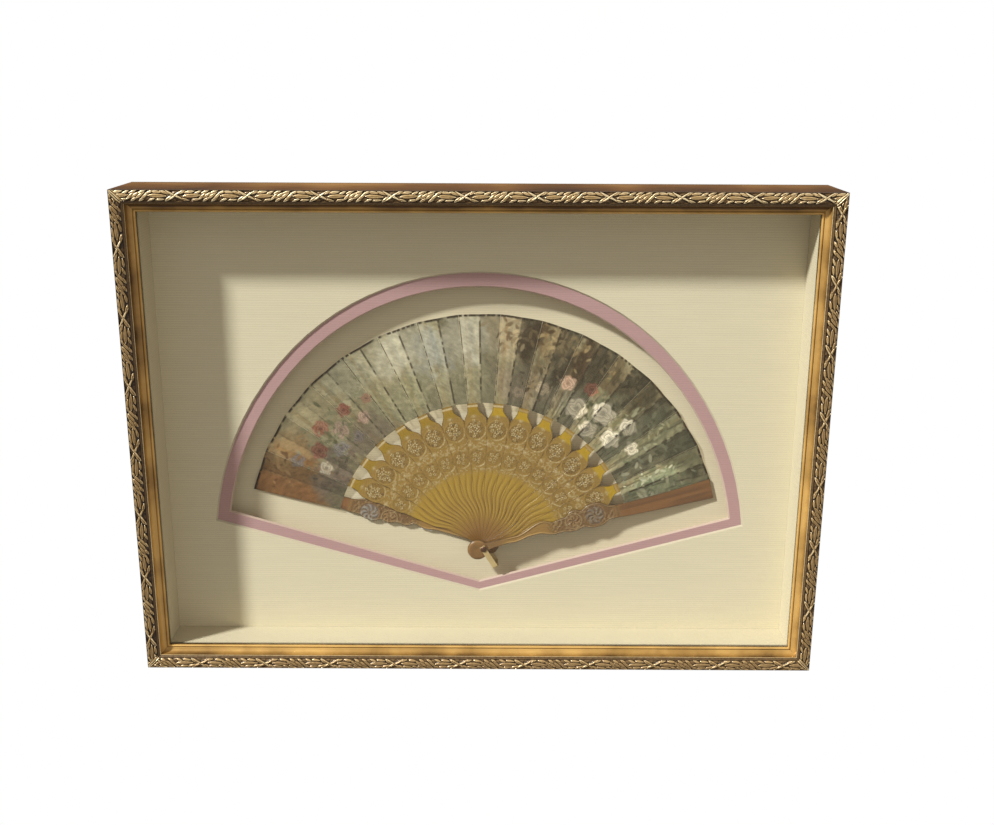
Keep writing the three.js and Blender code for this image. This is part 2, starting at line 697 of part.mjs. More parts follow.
// Round wire bent to a flat closed outline
function wireLoop(outline, radius, sides) {
  const positions = [];
  const indices = [];
  outline.forEach((point, index) => {
    const before = outline[(index + outline.length - 1) % outline.length];
    const after = outline[(index + 1) % outline.length];
    const entering = point.clone().sub(before).normalize();
    const leaving = after.clone().sub(point).normalize();
    const along = entering.add(leaving).normalize();
    const outward = new THREE.Vector2(along.y, -along.x);
    for (let side = 0; side < sides; side++) {
      const turn = (side / sides) * 2 * Math.PI;
      const out = radius * Math.cos(turn);
      positions.push(point.x + outward.x * out, radius * Math.sin(turn), point.y + outward.y * out);
    }
  });
  const count = outline.length;
  for (let index = 0; index < count; index++) {
    for (let side = 0; side < sides; side++) {
      const a = index * sides + side;
      const b = index * sides + ((side + 1) % sides);
      const c = ((index + 1) % count) * sides + ((side + 1) % sides);
      const d = ((index + 1) % count) * sides + side;
      indices.push(a, b, c, a, c, d);
    }
  }
  const geometry = new THREE.BufferGeometry();
  geometry.setAttribute('position', new THREE.Float32BufferAttribute(positions, 3));
  geometry.setIndex(indices);
  geometry.computeVertexNormals();
  return geometry;
}

// D-shaped ring that hangs from its bar, which lies along X at the origin
function ringGeometry() {
  const half = ringInnerWidth / 2 + ringWire;
  const corner = 1.6;
  const outline = [
    new THREE.Vector2(-half + corner, 0),
    new THREE.Vector2(half - corner, 0),
    new THREE.Vector2(half - 0.3 * corner, 0.3 * corner),
    new THREE.Vector2(half, corner),
  ];
  const bowSteps = 12;
  const straight = ringReach - ringWire - half;
  for (let step = 0; step <= bowSteps; step++) {
    const turn = Math.PI * (step / bowSteps);
    outline.push(new THREE.Vector2(half * Math.cos(turn), straight + half * Math.sin(turn)));
  }
  outline.push(new THREE.Vector2(-half, corner));
  outline.push(new THREE.Vector2(-half + 0.3 * corner, 0.3 * corner));
  const hanging = outline.map((point) => new THREE.Vector2(-point.x, -point.y));
  return wireLoop(hanging, ringWire, 8);
}

// Strap folded round the ring's bar: a flat tongue on the rail, an eye, and the short end laid back
function hangerGeometry() {
  const bore = ringWire + ringClearance;
  const shape = new THREE.Shape();
  shape.moveTo(0, 0);
  shape.lineTo(0, -hangerLength);
  shape.lineTo(hangerThickness, -hangerLength);
  shape.lineTo(hangerThickness, -hangerFold);
  shape.lineTo(2 * hangerThickness, -hangerFold);
  shape.lineTo(2 * eyeRadius, 0);
  shape.absarc(eyeRadius, 0, eyeRadius, 0, Math.PI, false);
  const hole = new THREE.Path();
  hole.absarc(eyeRadius, 0, bore, 0, 2 * Math.PI, true);
  shape.holes.push(hole);
  const strap = new THREE.ExtrudeGeometry(shape, { depth: hangerWidth, bevelEnabled: false, curveSegments: 10 });
  strap.translate(0, 0, -hangerWidth / 2);
  const place = new THREE.Matrix4().makeBasis(
    new THREE.Vector3(0, 1, 0), new THREE.Vector3(0, 0, 1), new THREE.Vector3(1, 0, 0),
  );
  return strap.applyMatrix4(place);
}

function addBackHardware() {
  for (const [side, sign] of [['left', -1], ['right', 1]]) {
    const x = sign * (frameWidth / 2 - railWidth / 2);
    const strap = addPiece(object, `hanger_strap_${side}`, hangerGeometry(), steel);
    strap.position.set(x, hardwareSeat, hangerHeight);
    const ring = addPiece(object, `hanger_ring_${side}`, ringGeometry(), steel);
    ring.position.set(x, hardwareSeat + eyeRadius, hangerHeight);
    const bumper = new THREE.CylinderGeometry(bumperRadius, bumperRadius, bumperThickness, 24);
    const foot = addPiece(object, `bumper_${side}`, bumper, clearRubber);
    const footX = sign * (frameWidth / 2 - bumperInset);
    foot.position.set(footX, hardwareSeat + bumperThickness / 2, bumperInset);
  }
}

addFrame();
addBoards();
addLiners();
addSticks();
addLeaf();
addRivet();
addBail();
addPads();
addBackHardware();

export default object;
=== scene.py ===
"""Looks of the framed folding fan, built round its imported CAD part. Metres, +Z up, viewer on the -Y side."""
import json
import math

import bpy
import numpy as np
from mathutils import Matrix, Vector


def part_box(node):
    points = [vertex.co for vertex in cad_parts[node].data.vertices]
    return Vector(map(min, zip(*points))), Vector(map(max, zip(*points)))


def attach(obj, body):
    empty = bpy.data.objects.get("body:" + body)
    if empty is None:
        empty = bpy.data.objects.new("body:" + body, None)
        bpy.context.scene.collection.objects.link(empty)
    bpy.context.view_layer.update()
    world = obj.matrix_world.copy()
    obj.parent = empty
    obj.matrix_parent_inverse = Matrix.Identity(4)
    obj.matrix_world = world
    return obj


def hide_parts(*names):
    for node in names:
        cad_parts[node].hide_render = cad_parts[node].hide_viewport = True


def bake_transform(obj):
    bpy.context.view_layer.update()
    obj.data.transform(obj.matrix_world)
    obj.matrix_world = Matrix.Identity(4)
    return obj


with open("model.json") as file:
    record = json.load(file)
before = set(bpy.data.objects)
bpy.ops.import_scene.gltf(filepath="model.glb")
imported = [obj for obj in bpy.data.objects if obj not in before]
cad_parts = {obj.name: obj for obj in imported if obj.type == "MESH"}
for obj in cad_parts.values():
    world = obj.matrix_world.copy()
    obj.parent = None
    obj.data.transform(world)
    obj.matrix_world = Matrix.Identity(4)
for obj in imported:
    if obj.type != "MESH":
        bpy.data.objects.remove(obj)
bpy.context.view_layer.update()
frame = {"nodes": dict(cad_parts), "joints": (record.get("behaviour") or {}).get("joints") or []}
nodes = frame["nodes"]

# Sizes of the CAD part, in metres and degrees
FRAME_WIDTH = 0.686
FRAME_HEIGHT = 0.49
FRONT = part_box("frame_rail_top")[0].y
FRAME_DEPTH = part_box("frame_rail_top")[1].y - FRONT
PIVOT = Vector(frame["joints"][0]["pos_m"])
LEAN = math.radians(1.56)
REAR_GUARD_ANGLE = 163.6
STICK_PITCH = 9.93
STICK_COUNT = 14
FRONT_MEMBER = STICK_COUNT + 1
REAR_GUARD_LAYER = 0.00205
STICK_LAYER = 0.00085
GORGE = 0.156
LEAF_INNER = GORGE - 0.0005
LEAF_OUTER = 0.2482
DISH_START = 0.018
DISH_SLOPE = 0.008 / (LEAF_OUTER - DISH_START)
HOLE_RADIUS = 0.0018
GUARD_BLADE = 0.0012
# Thickness of a blade at its body and at its tip, and where the step between them starts and ends
STICK_SECTION = (0.0006, 0.00045, 0.955 * GORGE, 0.985 * GORGE)
REAR_GUARD_SECTION = (0.0018, GUARD_BLADE, 0.925 * GORGE, 0.95 * GORGE)
FRONT_GUARD_SECTION = (0.0022, GUARD_BLADE, 0.925 * GORGE, 0.95 * GORGE)


# Numbers

def smooth(value, low, high):
    share = np.clip((value - low) / (high - low), 0, 1)
    return share * share * (3 - 2 * share)


def band(value, low, full, falling, high):
    """Rises from low to full and falls again from falling to high."""
    return smooth(value, low, full) * (1 - smooth(value, falling, high))


def noise(x, y, seed=0):
    """Value noise from 0 to 1 on a unit lattice."""
    column, row = np.floor(x), np.floor(y)
    across, along = x - column, y - row
    across = across * across * (3 - 2 * across)
    along = along * along * (3 - 2 * along)

    def corner(i, j):
        raw = np.sin(i * 127.1 + j * 311.7 + seed * 74.7) * 43758.5453
        return raw - np.floor(raw)

    low = corner(column, row) * (1 - across) + corner(column + 1, row) * across
    high = corner(column, row + 1) * (1 - across) + corner(column + 1, row + 1) * across
    return low * (1 - along) + high * along


def clouds(x, y, seed=0, octaves=3):
    total, weight, size = 0, 0, 1
    for octave in range(octaves):
        total = total + noise(x * size, y * size, seed + octave) / size
        weight += 1 / size
        size *= 2
    return total / weight


def bell(value, width):
    return np.exp(-(value / width) ** 2)


def blurred(grid, reach):
    """Running mean over reach cells on each side, along both directions."""
    for axis in (0, 1):
        total = np.zeros_like(grid)
        for step in range(-reach, reach + 1):
            total += np.roll(grid, step, axis)
        grid = total / (2 * reach + 1)
    return grid


# Meshes

def make_object(name, vertices, quads, material, smooth_shading=True, caps=()):
    """A closed mesh from quads, and from caps, which are single faces with more corners."""
    vertices = np.asarray(vertices, float)
    first, second, third, fourth = vertices[quads.T]
    volume = np.sum(first * (np.cross(second, third) + np.cross(third, fourth)))
    if volume < 0:
        quads = quads[:, ::-1]
        caps = [cap[::-1] for cap in caps]
    corners = np.concatenate([quads.ravel(), *caps])
    counts = np.array([4] * len(quads) + [len(cap) for cap in caps])
    starts = np.concatenate([[0], np.cumsum(counts)[:-1]])
    mesh = bpy.data.meshes.new(name)
    mesh.vertices.add(len(vertices))
    mesh.vertices.foreach_set("co", vertices.astype(np.float32).ravel())
    mesh.loops.add(len(corners))
    mesh.loops.foreach_set("vertex_index", corners.astype(np.int32))
    mesh.polygons.add(len(counts))
    mesh.polygons.foreach_set("loop_start", starts.astype(np.int32))
    mesh.polygons.foreach_set("use_smooth", (counts == 4) & smooth_shading)
    mesh.update(calc_edges=True)
    mesh.validate()
    mesh.materials.append(material)
    piece = bpy.data.objects.new(name, mesh)
    bpy.context.scene.collection.objects.link(piece)
    return piece


def set_values(piece, name, values):
    attribute = piece.data.attributes.new(name, "FLOAT", "POINT")
    attribute.data.foreach_set("value", np.asarray(values, np.float32).ravel())


def set_colours(piece, name, colours):
    attribute = piece.data.color_attributes.new(name, "FLOAT_COLOR", "POINT")
    alpha = np.ones((len(colours), 1))
    attribute.data.foreach_set("color", np.hstack([colours, alpha]).astype(np.float32).ravel())


def grid_faces(index):
    return np.stack([index[:-1, :-1], index[:-1, 1:], index[1:, 1:], index[1:, :-1]], -1).reshape(-1, 4)


def shell_faces(index, count):
    """Faces of a slab whose back grid follows its front grid by count places."""
    rim = np.concatenate([index[0, :], index[1:, -1], index[-1, -2::-1], index[-2:0:-1, 0]])
    after = np.roll(rim, -1)
    walls = np.stack([rim, rim + count, after + count, after], -1)
    return np.concatenate([grid_faces(index), grid_faces(index + count)[:, ::-1], walls])


def spokes_of(rings, count):
    """Shares from the middle to the rim, and angles once round."""
    return np.linspace(0, 1, rings)[:, None], np.linspace(0, 2 * math.pi, count, endpoint=False)[None, :]


def closed_rings(vertices, count):
    """Index of rows of count vertices, each row closed on its first."""
    index = np.arange(len(vertices)).reshape(-1, count)
    return np.concatenate([index, index[:, :1]], 1)


def tinted(colour, target, share):
    return colour + (target - colour) * np.clip(share, 0, 1)[..., None]


def layered(shape, base, layers):
    """A grid of the base colour, with each tint laid over it in its share."""
    colour = np.zeros((*shape, 3)) + base
    for tint, share in layers:
        colour = tinted(colour, tint, share)
    return colour


def dress(piece, node, body):
    """Stands a made piece in for its CAD node: hides the node and puts the piece on its body."""
    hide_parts(node)
    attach(piece, body)


# Materials

class Nodes:
    """Fills a node tree. A socket or a plain value may stand for any input."""

    def __init__(self, tree):
        self.tree = tree
        tree.nodes.clear()

    def node(self, kind, inputs=None, out=0, **settings):
        made = self.tree.nodes.new("ShaderNode" + kind)
        for key, value in settings.items():
            setattr(made, key, value)
        for key, value in (inputs or {}).items():
            self.feed(made.inputs[key], value)
        return made.outputs[out]

    def feed(self, socket, value):
        if isinstance(value, bpy.types.NodeSocket):
            self.tree.links.new(value, socket)
        elif socket.type == "RGBA":
            socket.default_value = (*value[:3], 1)
        else:
            socket.default_value = value

    def math(self, operation, first, second=0.0):
        return self.node("Math", {0: first, 1: second}, operation=operation)

    def add(self, first, second):
        return self.math("ADD", first, second)

    def times(self, first, second):
        return self.math("MULTIPLY", first, second)


class Paint(Nodes):
    """Builds one material."""

    def __init__(self, name):
        self.material = bpy.data.materials.new(name)
        self.material.use_nodes = True
        super().__init__(self.material.node_tree)
        self.output = self.tree.nodes.new("ShaderNodeOutputMaterial")

    def place(self, stretch):
        return self.node("Mapping", {"Vector": self.node("TexCoord", out="Object"), "Scale": stretch})

    def noise(self, scale, detail=3, stretch=(1, 1, 1)):
        return self.node("TexNoise", {"Vector": self.place(stretch), "Scale": scale, "Detail": detail})

    def ramp(self, value, stops):
        made = self.tree.nodes.new("ShaderNodeValToRGB")
        elements = made.color_ramp.elements
        while len(elements) < len(stops):
            elements.new(0.5)
        for element, (place, colour) in zip(elements, stops):
            element.position = place
            element.color = (*colour, 1)
        self.feed(made.inputs[0], value)
        return made.outputs[0]

    def mix(self, share, first, second, blend="MIX"):
        inputs = {0: share, 6: first, 7: second}
        return self.node("Mix", inputs, 2, data_type="RGBA", blend_type=blend)

    def grey(self, tone):
        return self.node("CombineXYZ", {"X": tone, "Y": tone, "Z": tone})

    def value(self, share, low, high):
        return self.node("MapRange", {"Value": share, "To Min": low, "To Max": high})

    def attribute(self, name, out="Fac"):
        return self.node("Attribute", attribute_name=name, out=out)

    def bump(self, height, strength, distance):
        return self.node("Bump", {"Height": height, "Strength": strength, "Distance": distance})

    def principled(self, **inputs):
        named = {key.replace("_", " "): value for key, value in inputs.items()}
        return self.finish(self.node("BsdfPrincipled", named))

    def finish(self, shader):
        self.tree.links.new(shader, self.output.inputs[0])
        return self.material


def gilt():
    """Worn gold leaf over umber: pale where the relief is rubbed, with painted highlights on its crests, dark
    in the cuts, smooth gold in the scoop.

    warm is 1 in the scoop, 0 on the carving and -1 on the stained outer sides.
    """
    paint = Paint("gilt")
    relief = paint.attribute("relief")
    warm = paint.attribute("warm")
    wear = paint.noise(420, 4)
    drift = paint.noise(26, 3)
    level = paint.add(relief, paint.value(wear, -0.12, 0.12))
    antique = paint.ramp(level, [
        (0.0, (0.014, 0.008, 0.003)), (0.22, (0.058, 0.031, 0.011)), (0.44, (0.23, 0.138, 0.053)),
        (0.66, (0.53, 0.355, 0.15)), (0.86, (1.0, 0.84, 0.52))])
    scoop = paint.ramp(paint.add(drift, paint.add(relief, -0.5)), [
        (0.1, (0.085, 0.042, 0.012)), (0.4, (0.37, 0.205, 0.052)), (0.7, (0.64, 0.39, 0.115))])
    patches = paint.mix(0.25, paint.noise(9, 2, (1, 0.3, 1)), paint.noise(160, 3, (0.3, 1, 0.3)))
    stain = paint.ramp(paint.add(patches, paint.add(relief, -0.2)), [
        (0.28, (0.048, 0.02, 0.007)), (0.5, (0.135, 0.06, 0.016)), (0.74, (0.3, 0.158, 0.05))])
    side = paint.math("MAXIMUM", paint.times(warm, -1.0), 0.0)
    colour = paint.mix(paint.math("MAXIMUM", warm, 0.0), antique, scoop)
    colour = paint.mix(side, colour, stain)
    worn = paint.value(wear, 0.24, 0.38)
    return paint.principled(
        Base_Color=colour, Metallic=paint.value(side, 0.3, 0.0),
        Roughness=paint.math("MAXIMUM", worn, paint.value(side, 0.0, 0.7)),
        Normal=paint.bump(wear, 0.2, 0.0003), Specular_IOR_Level=paint.value(side, 0.5, 0.1))


def board(name, colour, core, grain=0.05):
    """Laid paper with fine level lines. The cut bevel of a mat shows its pale core."""
    paint = Paint(name)
    waves = {"Vector": paint.place((0.04, 0.04, 1.0)), "Scale": 131, "Distortion": 1.5, "Detail": 2}
    laid = paint.node("TexWave", waves, 1, bands_direction="Z")
    lines = paint.noise(500, 2, (0.05, 0.05, 1.0))
    fibres = paint.noise(300, 3, (0.25, 0.25, 1.0))
    cloud = paint.noise(7, 3)
    tone = paint.add(paint.value(laid, 0.955, 1.04), paint.value(lines, -0.05, 0.05))
    tone = paint.add(tone, paint.value(cloud, -0.03, 0.03))
    face = paint.mix(1.0, colour, paint.grey(tone), "MULTIPLY")
    normal = paint.node("NewGeometry", out="True Normal")
    facing = paint.math("ABSOLUTE", paint.node("SeparateXYZ", {0: normal}, out="Y"))
    bevel = paint.math("LESS_THAN", paint.math("ABSOLUTE", paint.add(facing, -0.7)), 0.15)
    shade = paint.mix(bevel, face, core)
    height = paint.add(laid, fibres)
    return paint.principled(Base_Color=shade, Roughness=0.92, Normal=paint.bump(height, grain, 0.0003),
                            Specular_IOR_Level=0.2)


def clear_glass():
    """Thin clear pane. Only its outer faces shine, so that slanting light passes through."""
    paint = Paint("clear_glass")
    clear = paint.node("BsdfTransparent", {"Color": (0.99, 0.995, 0.99)})
    waves = paint.value(paint.noise(30), 0.0, 0.03)
    shine = paint.node("BsdfGlossy", {"Color": (1, 1, 1), "Roughness": waves})
    outer = paint.math("SUBTRACT", 1.0, paint.node("NewGeometry", out="Backfacing"))
    share = paint.times(paint.node("Fresnel", {"IOR": 1.5}), 0.6)
    share = paint.times(share, outer)
    return paint.finish(paint.node("MixShader", {0: share, 1: clear, 2: shine}))


def horn():
    """Polished horn that lets light through, with gilt on the crests of its carving, and painted highlights on
    the lit side of its medallion rims.
    """
    paint = Paint("horn")
    base = paint.attribute("colour", out="Color")
    gold = paint.attribute("gold")
    streak = paint.noise(90, 3, (1, 1, 0.25))
    darker = paint.mix(1.0, base, (0.66, 0.58, 0.42), "MULTIPLY")
    base = paint.mix(paint.value(streak, 0.0, 0.5), base, darker)
    fleck = paint.noise(900, 2)
    gold = paint.times(gold, paint.value(fleck, 0.55, 1.25))
    gilded = paint.mix(fleck, (0.58, 0.42, 0.17), (0.96, 0.84, 0.54))
    colour = paint.mix(gold, base, gilded)
    body = paint.node("BsdfPrincipled", {
        "Base Color": colour, "Roughness": paint.value(streak, 0.24, 0.4), "IOR": 1.5,
        "Metallic": paint.times(gold, 0.3),
        "Normal": paint.bump(fleck, 0.1, 0.0002)})
    glow = paint.node("BsdfTranslucent", {"Color": base})
    return paint.finish(paint.node("MixShader", {0: paint.attribute("glow"), 1: body, 2: glow}))


def painted_leaf():
    """Painted gauze: sheer under thin pale washes, dense under dark paint."""
    paint = Paint("painted_leaf")
    colour = paint.attribute("colour", out="Color")
    weave = paint.noise(1500, 2)
    wash = paint.noise(210, 4)
    tone = paint.add(paint.value(weave, -0.08, 0.08), paint.value(wash, 0.84, 1.16))
    colour = paint.mix(1.0, colour, paint.grey(tone), "MULTIPLY")
    body = paint.node("BsdfPrincipled", {
        "Base Color": colour, "Roughness": 0.75, "Specular IOR Level": 0.25,
        "Normal": paint.bump(weave, 0.2, 0.0002)})
    through = paint.node("BsdfTranslucent", {"Color": paint.mix(0.25, colour, (0.85, 0.8, 0.66))})
    cloth = paint.node("MixShader", {0: 0.15, 1: body, 2: through})
    gauze = paint.node("BsdfTransparent", {"Color": (1.0, 0.98, 0.93)})
    share = paint.math("MAXIMUM", paint.attribute("sheer"), paint.node("NewGeometry", out="Backfacing"))
    return paint.finish(paint.node("MixShader", {0: share, 1: cloth, 2: gauze}))


def simple(name, low, high, rough, scale, metallic=0.0, stretch=(1, 1, 1), grain=0.2):
    """A mottled surface between two colours."""
    paint = Paint(name)
    mottle = paint.noise(scale, 4, stretch)
    return paint.principled(Base_Color=paint.mix(mottle, low, high), Metallic=metallic,
                            Roughness=paint.value(mottle, rough, rough + 0.12),
                            Normal=paint.bump(mottle, grain, 0.0003))


GILT = gilt()
HORN = horn()
LEAF = painted_leaf()
STEEL = simple("steel", (0.48, 0.48, 0.46), (0.66, 0.66, 0.63), 0.28, 600, 0.95)
# Nodes that keep their CAD shape: their material, slot and names
PLAIN_NODES = [
    (clear_glass(), "glass", ["glass"]),
    (board("cream_board", (0.69, 0.615, 0.432), (0.52, 0.45, 0.32)), "cream_board", ["top_mat"]),
    (board("liner_board", (0.57, 0.5, 0.345), (0.57, 0.5, 0.345)), "cream_board",
     ["liner_top", "liner_bottom", "liner_left", "liner_right"]),
    (board("linen_board", (0.68, 0.595, 0.41), (0.66, 0.58, 0.42), 0.07), "cream_board",
     ["mounting_board"]),
    (board("rose_board", (0.47, 0.285, 0.272), (0.5, 0.37, 0.29)), "rose_board", ["under_mat"]),
    (simple("foam_board", (0.74, 0.71, 0.62), (0.84, 0.81, 0.73), 0.85, 260), "foam_board",
     ["mat_spacer", "backing_board"]),
    (simple("kraft_paper", (0.25, 0.155, 0.08), (0.36, 0.235, 0.13), 0.8, 120, grain=0.5),
     "kraft_paper", ["dust_cover"]),
    (simple("pale_horn", (0.38, 0.26, 0.1), (0.62, 0.47, 0.22), 0.3, 130, stretch=(1, 1, 0.3)),
     "pale_horn", ["bail"]),
    (simple("rivet_metal", (0.05, 0.022, 0.012), (0.16, 0.075, 0.035), 0.35, 700, 0.5),
     "rivet_metal", ["rivet"]),
    (simple("adhesive_pad", (0.74, 0.71, 0.63), (0.82, 0.8, 0.74), 0.8, 400), "adhesive_pad",
     ["guard_pad_inner", "guard_pad_outer"]),
    (simple("bumper_rubber", (0.55, 0.54, 0.5), (0.7, 0.69, 0.64), 0.45, 300), "bumper_rubber",
     ["bumper_left", "bumper_right"]),
    (STEEL, "steel",
     ["hanger_strap_left", "hanger_strap_right", "hanger_ring_left", "hanger_ring_right"]),
]


# Frame

LEAF_PITCH = 0.067
BAND = 0.0127
LEAF_BAND = 0.0106
RELIEF_DEPTH = 0.0021
RAIL_STEP = 0.00042
CORNER_LEAF = 0.0036
REBATE = 0.0158
REBATE_DEPTH = 0.015
SIGHT_EDGE = 0.0214

# One period of the garland. Each leaf has its place along and its place across from the outer edge to the
# inner, its half length and half width, in shares of the pitch and of the band, and its tilt in degrees.
UNDER_LEAVES = [(order / 12 + 0.02, 0.74 if order % 2 else 0.26, 0.075, 0.24, -24 if order % 2 else 26)
                for order in range(12)]
GARLAND = [
    (0.095, 0.2, 0.068, 0.15, 20), (0.205, 0.17, 0.078, 0.15, 8), (0.315, 0.22, 0.06, 0.14, 25),
    (0.13, 0.84, 0.07, 0.14, -12), (0.29, 0.84, 0.07, 0.13, 8), (0.235, 0.5, 0.135, 0.21, 3),
    (0.42, 0.16, 0.062, 0.13, 20), (0.385, 0.5, 0.088, 0.15, 42), (0.435, 0.78, 0.068, 0.14, 30),
    (0.455, 0.42, 0.082, 0.16, 32), (0.54, 0.17, 0.062, 0.13, 20), (0.545, 0.8, 0.062, 0.13, 30),
    (0.52, 0.46, 0.082, 0.16, 34), (0.59, 0.48, 0.092, 0.15, 40), (0.655, 0.18, 0.062, 0.13, 18),
    (0.675, 0.84, 0.062, 0.12, 20), (0.75, 0.18, 0.082, 0.15, -6), (0.865, 0.24, 0.078, 0.15, -18),
    (0.79, 0.86, 0.068, 0.12, 5), (0.905, 0.74, 0.068, 0.13, 38), (0.755, 0.52, 0.135, 0.21, -2),
]
RIBBONS = [(0.0, 0.49, 0.165, 0.12, -30), (0.0, 0.49, 0.165, 0.1, 30)]


def leaf_height(along, across, leaf, bend):
    """Height from 0 to 1 of one pointed leaf with a groove down its middle, 0 outside it."""
    place, level, half_length, half_width, tilt = leaf
    turn = math.radians(tilt)
    shift = ((along / LEAF_PITCH - place + 0.5) % 1.0 - 0.5) * LEAF_PITCH
    rise = level * LEAF_BAND - across
    forward = (shift * math.cos(turn) + rise * math.sin(turn)) / (half_length * LEAF_PITCH)
    aside = (rise * math.cos(turn) - shift * math.sin(turn)) / (half_width * LEAF_BAND)
    aside = aside - bend * np.sin(math.pi * np.clip(forward, -1, 1))
    outline = np.clip(1 - np.abs(forward) ** 2.2, 0, 1) * (1 - 0.25 * np.clip(forward, -1, 1))
    body = np.clip(1 - (aside / np.maximum(outline, 1e-3)) ** 2, 0, 1) * (np.abs(forward) < 1)
    groove = 0.2 * bell(aside, 0.2) * (np.abs(forward) < 0.8)
    return np.sqrt(body) * (0.8 + 0.2 * (1 - forward ** 2)) - groove * (body > 0.3)


def garland(along, across, half):
    """Height of the carving. Each leaf lies over those before it, and one lies along the mitre."""
    height = 0.18 * noise(along / 0.0012, across / 0.0012, 3)
    for leaves, rise, bend in ((UNDER_LEAVES, 0.34, 0.0), (GARLAND, 0.9, 0.0), (RIBBONS, 1.08, 0.35)):
        for leaf in leaves:
            raised = leaf_height(along, across, leaf, bend)
            height = np.where(raised > 0, rise * raised, height)
    width = CORNER_LEAF * np.sqrt(np.clip(1 - (2 * across / BAND - 1) ** 2, 0, 1)) + 1e-6
    corner = half / width
    mitre_leaf = np.sqrt(np.clip(1 - corner ** 2, 0, 1)) * smooth(corner, 0.0, 0.25)
    height = np.where(corner < 1.15, mitre_leaf, height)
    edge = band(across, 0.0, 0.0006, LEAF_BAND - 0.0004, LEAF_BAND + 0.0005)
    return height * edge


def rail_profile():
    """Rows of depth, place across, warmth and tone, from the outer back edge over the front to the rebate."""
    rows = [(FRAME_DEPTH, 0, -1, 0.36), (0.065, 0, -1, 0.28), (0.045, 0, -1, 0.2), (0.008, 0, -1, 0.08),
            (0.0032, 0, -0.9, 0.08), (0.0014, 0, 0, 0.2)]
    for across in np.linspace(0.0001, BAND, 38):
        depth = 0.0008 * (1 - smooth(across, 0, 0.003)) + 0.0034 * smooth(across, 0.008, 0.0134)
        rows.append((depth, across, 0, -1 if across < LEAF_BAND + 0.0004 else 0.3))
    rows += [(0.004, 0.01288, 0, 0.1), (0.0034, 0.0131, 0.1, 0.74), (0.0034, 0.0134, 0.2, 0.8),
             (0.0041, 0.0135, 0.6, 0.2)]
    # Scoop: its tone rises from 0.2 beside the carving to 0.58 at the bead, painted shade where the scoop
    # turns in under the carving.
    for share in np.linspace(0, 1, 11):
        turn = share * math.pi / 2
        depth = 0.0042 + 0.0064 * math.sin(turn)
        rows.append((depth, 0.0136 + 0.0048 * (1 - math.cos(turn)), 1, 0.2 + 0.38 * share))
    rows += [(0.0113, 0.0186, 1, 0.05), (0.0109, 0.0188, 1, 0.3)]
    for share in np.linspace(0, 1, 7):
        turn = share * math.pi
        rows.append((0.0109 - 0.0011 * math.sin(turn), 0.0189 + 0.0025 * share, 1, 0.62))
    rows += [(0.012, SIGHT_EDGE, 0.6, 0.15), (REBATE_DEPTH, SIGHT_EDGE, 0.4, 0.15),
             (REBATE_DEPTH, REBATE, 0, 0.25), (FRAME_DEPTH, REBATE, 0, 0.25)]
    return np.array(rows)


def build_rail(name, length, phase, painted_side_light, contrast, shade, place):
    """place(along, across) gives x and z of a point; along runs from the rail's middle.

    shade is the painted shade laid on the outer part of the scoop at the rail's first and last end; below zero
    it paints light there instead.
    """
    depth, across, warm, tone = rail_profile().T[..., None]
    half = length / 2 - 0.0001 - across
    along = half * np.linspace(-1, 1, int(length / RAIL_STEP))
    along, depth, across, warm, tone = np.broadcast_arrays(along, depth, across, warm, tone)
    carved = tone < 0
    height = garland(along + phase, across, half - np.abs(along)) * carved
    crown = band(across, 0.0, 0.0012, 0.01, 0.011)
    push = np.where(carved, RELIEF_DEPTH * (1 - height) * crown, 0)
    ridge = height - blurred(height, 2)
    # Level of the carving: rubbed gilt pale on the crests and patina dark round the leaves, both strengthened
    # by the ridge term as painted highlight and shade. Each rail's own offset and contrast paint the light and
    # shade that fall on its side.
    level = np.where(carved, 0.25 + painted_side_light + contrast * (0.34 * height + 1.8 * ridge), tone)
    # Painted shade on the scoop, blended from the rail's first end to its last; below zero it is painted
    # light.
    painted_scoop_shade = shade[0] + (shade[1] - shade[0]) * (0.5 + 0.5 * along / half)
    level = level - painted_scoop_shade * (1 - smooth(across, 0.015, 0.0192)) * (warm > 0)
    x, z = place(along, across)
    vertices = np.stack([x, FRONT + (depth + push), z], -1).reshape(-1, 3)
    index = np.arange(along.size).reshape(along.shape)
    quads = np.concatenate([grid_faces(index), grid_faces(index[[-1, 0]])])
    piece = make_object(name, vertices, quads, GILT, caps=(index[::-1, 0], index[:, -1]))
    set_values(piece, "relief", level)
    set_values(piece, "warm", warm)
    return piece


def build_frame():
    # Each rail: length, phase of the garland, painted light of its side, contrast of its painted highlights
    # and shade, painted shade of its scoop at its first and last end, and where its points lie.
    rails = [
        ("top", FRAME_WIDTH, 0.0127, 0.02, 1.0, (0.38, 0.38),
         lambda along, across: (along, FRAME_HEIGHT - across)),
        ("bottom", FRAME_WIDTH, 0.02, 0.05, 0.62, (0.0, 0.0),
         lambda along, across: (along, across)),
        ("left", FRAME_HEIGHT, 0.01, -0.09, 0.95, (-0.35, 0.12),
         lambda along, across: (across - FRAME_WIDTH / 2, FRAME_HEIGHT / 2 + along)),
        ("right", FRAME_HEIGHT, 0.024, -0.03, 0.8, (-0.05, -0.05),
         lambda along, across: (FRAME_WIDTH / 2 - across, FRAME_HEIGHT / 2 - along))]
    for side, *choices in rails:
        piece = build_rail("gilt_rail_" + side, *choices)
        dress(piece, "frame_rail_" + side, "case")


# Fan. Member 0 is the rear guard, 1 to 14 are the sticks and 15 is the front guard.

CARVED_FROM, CARVED_TO = 0.03, 0.16


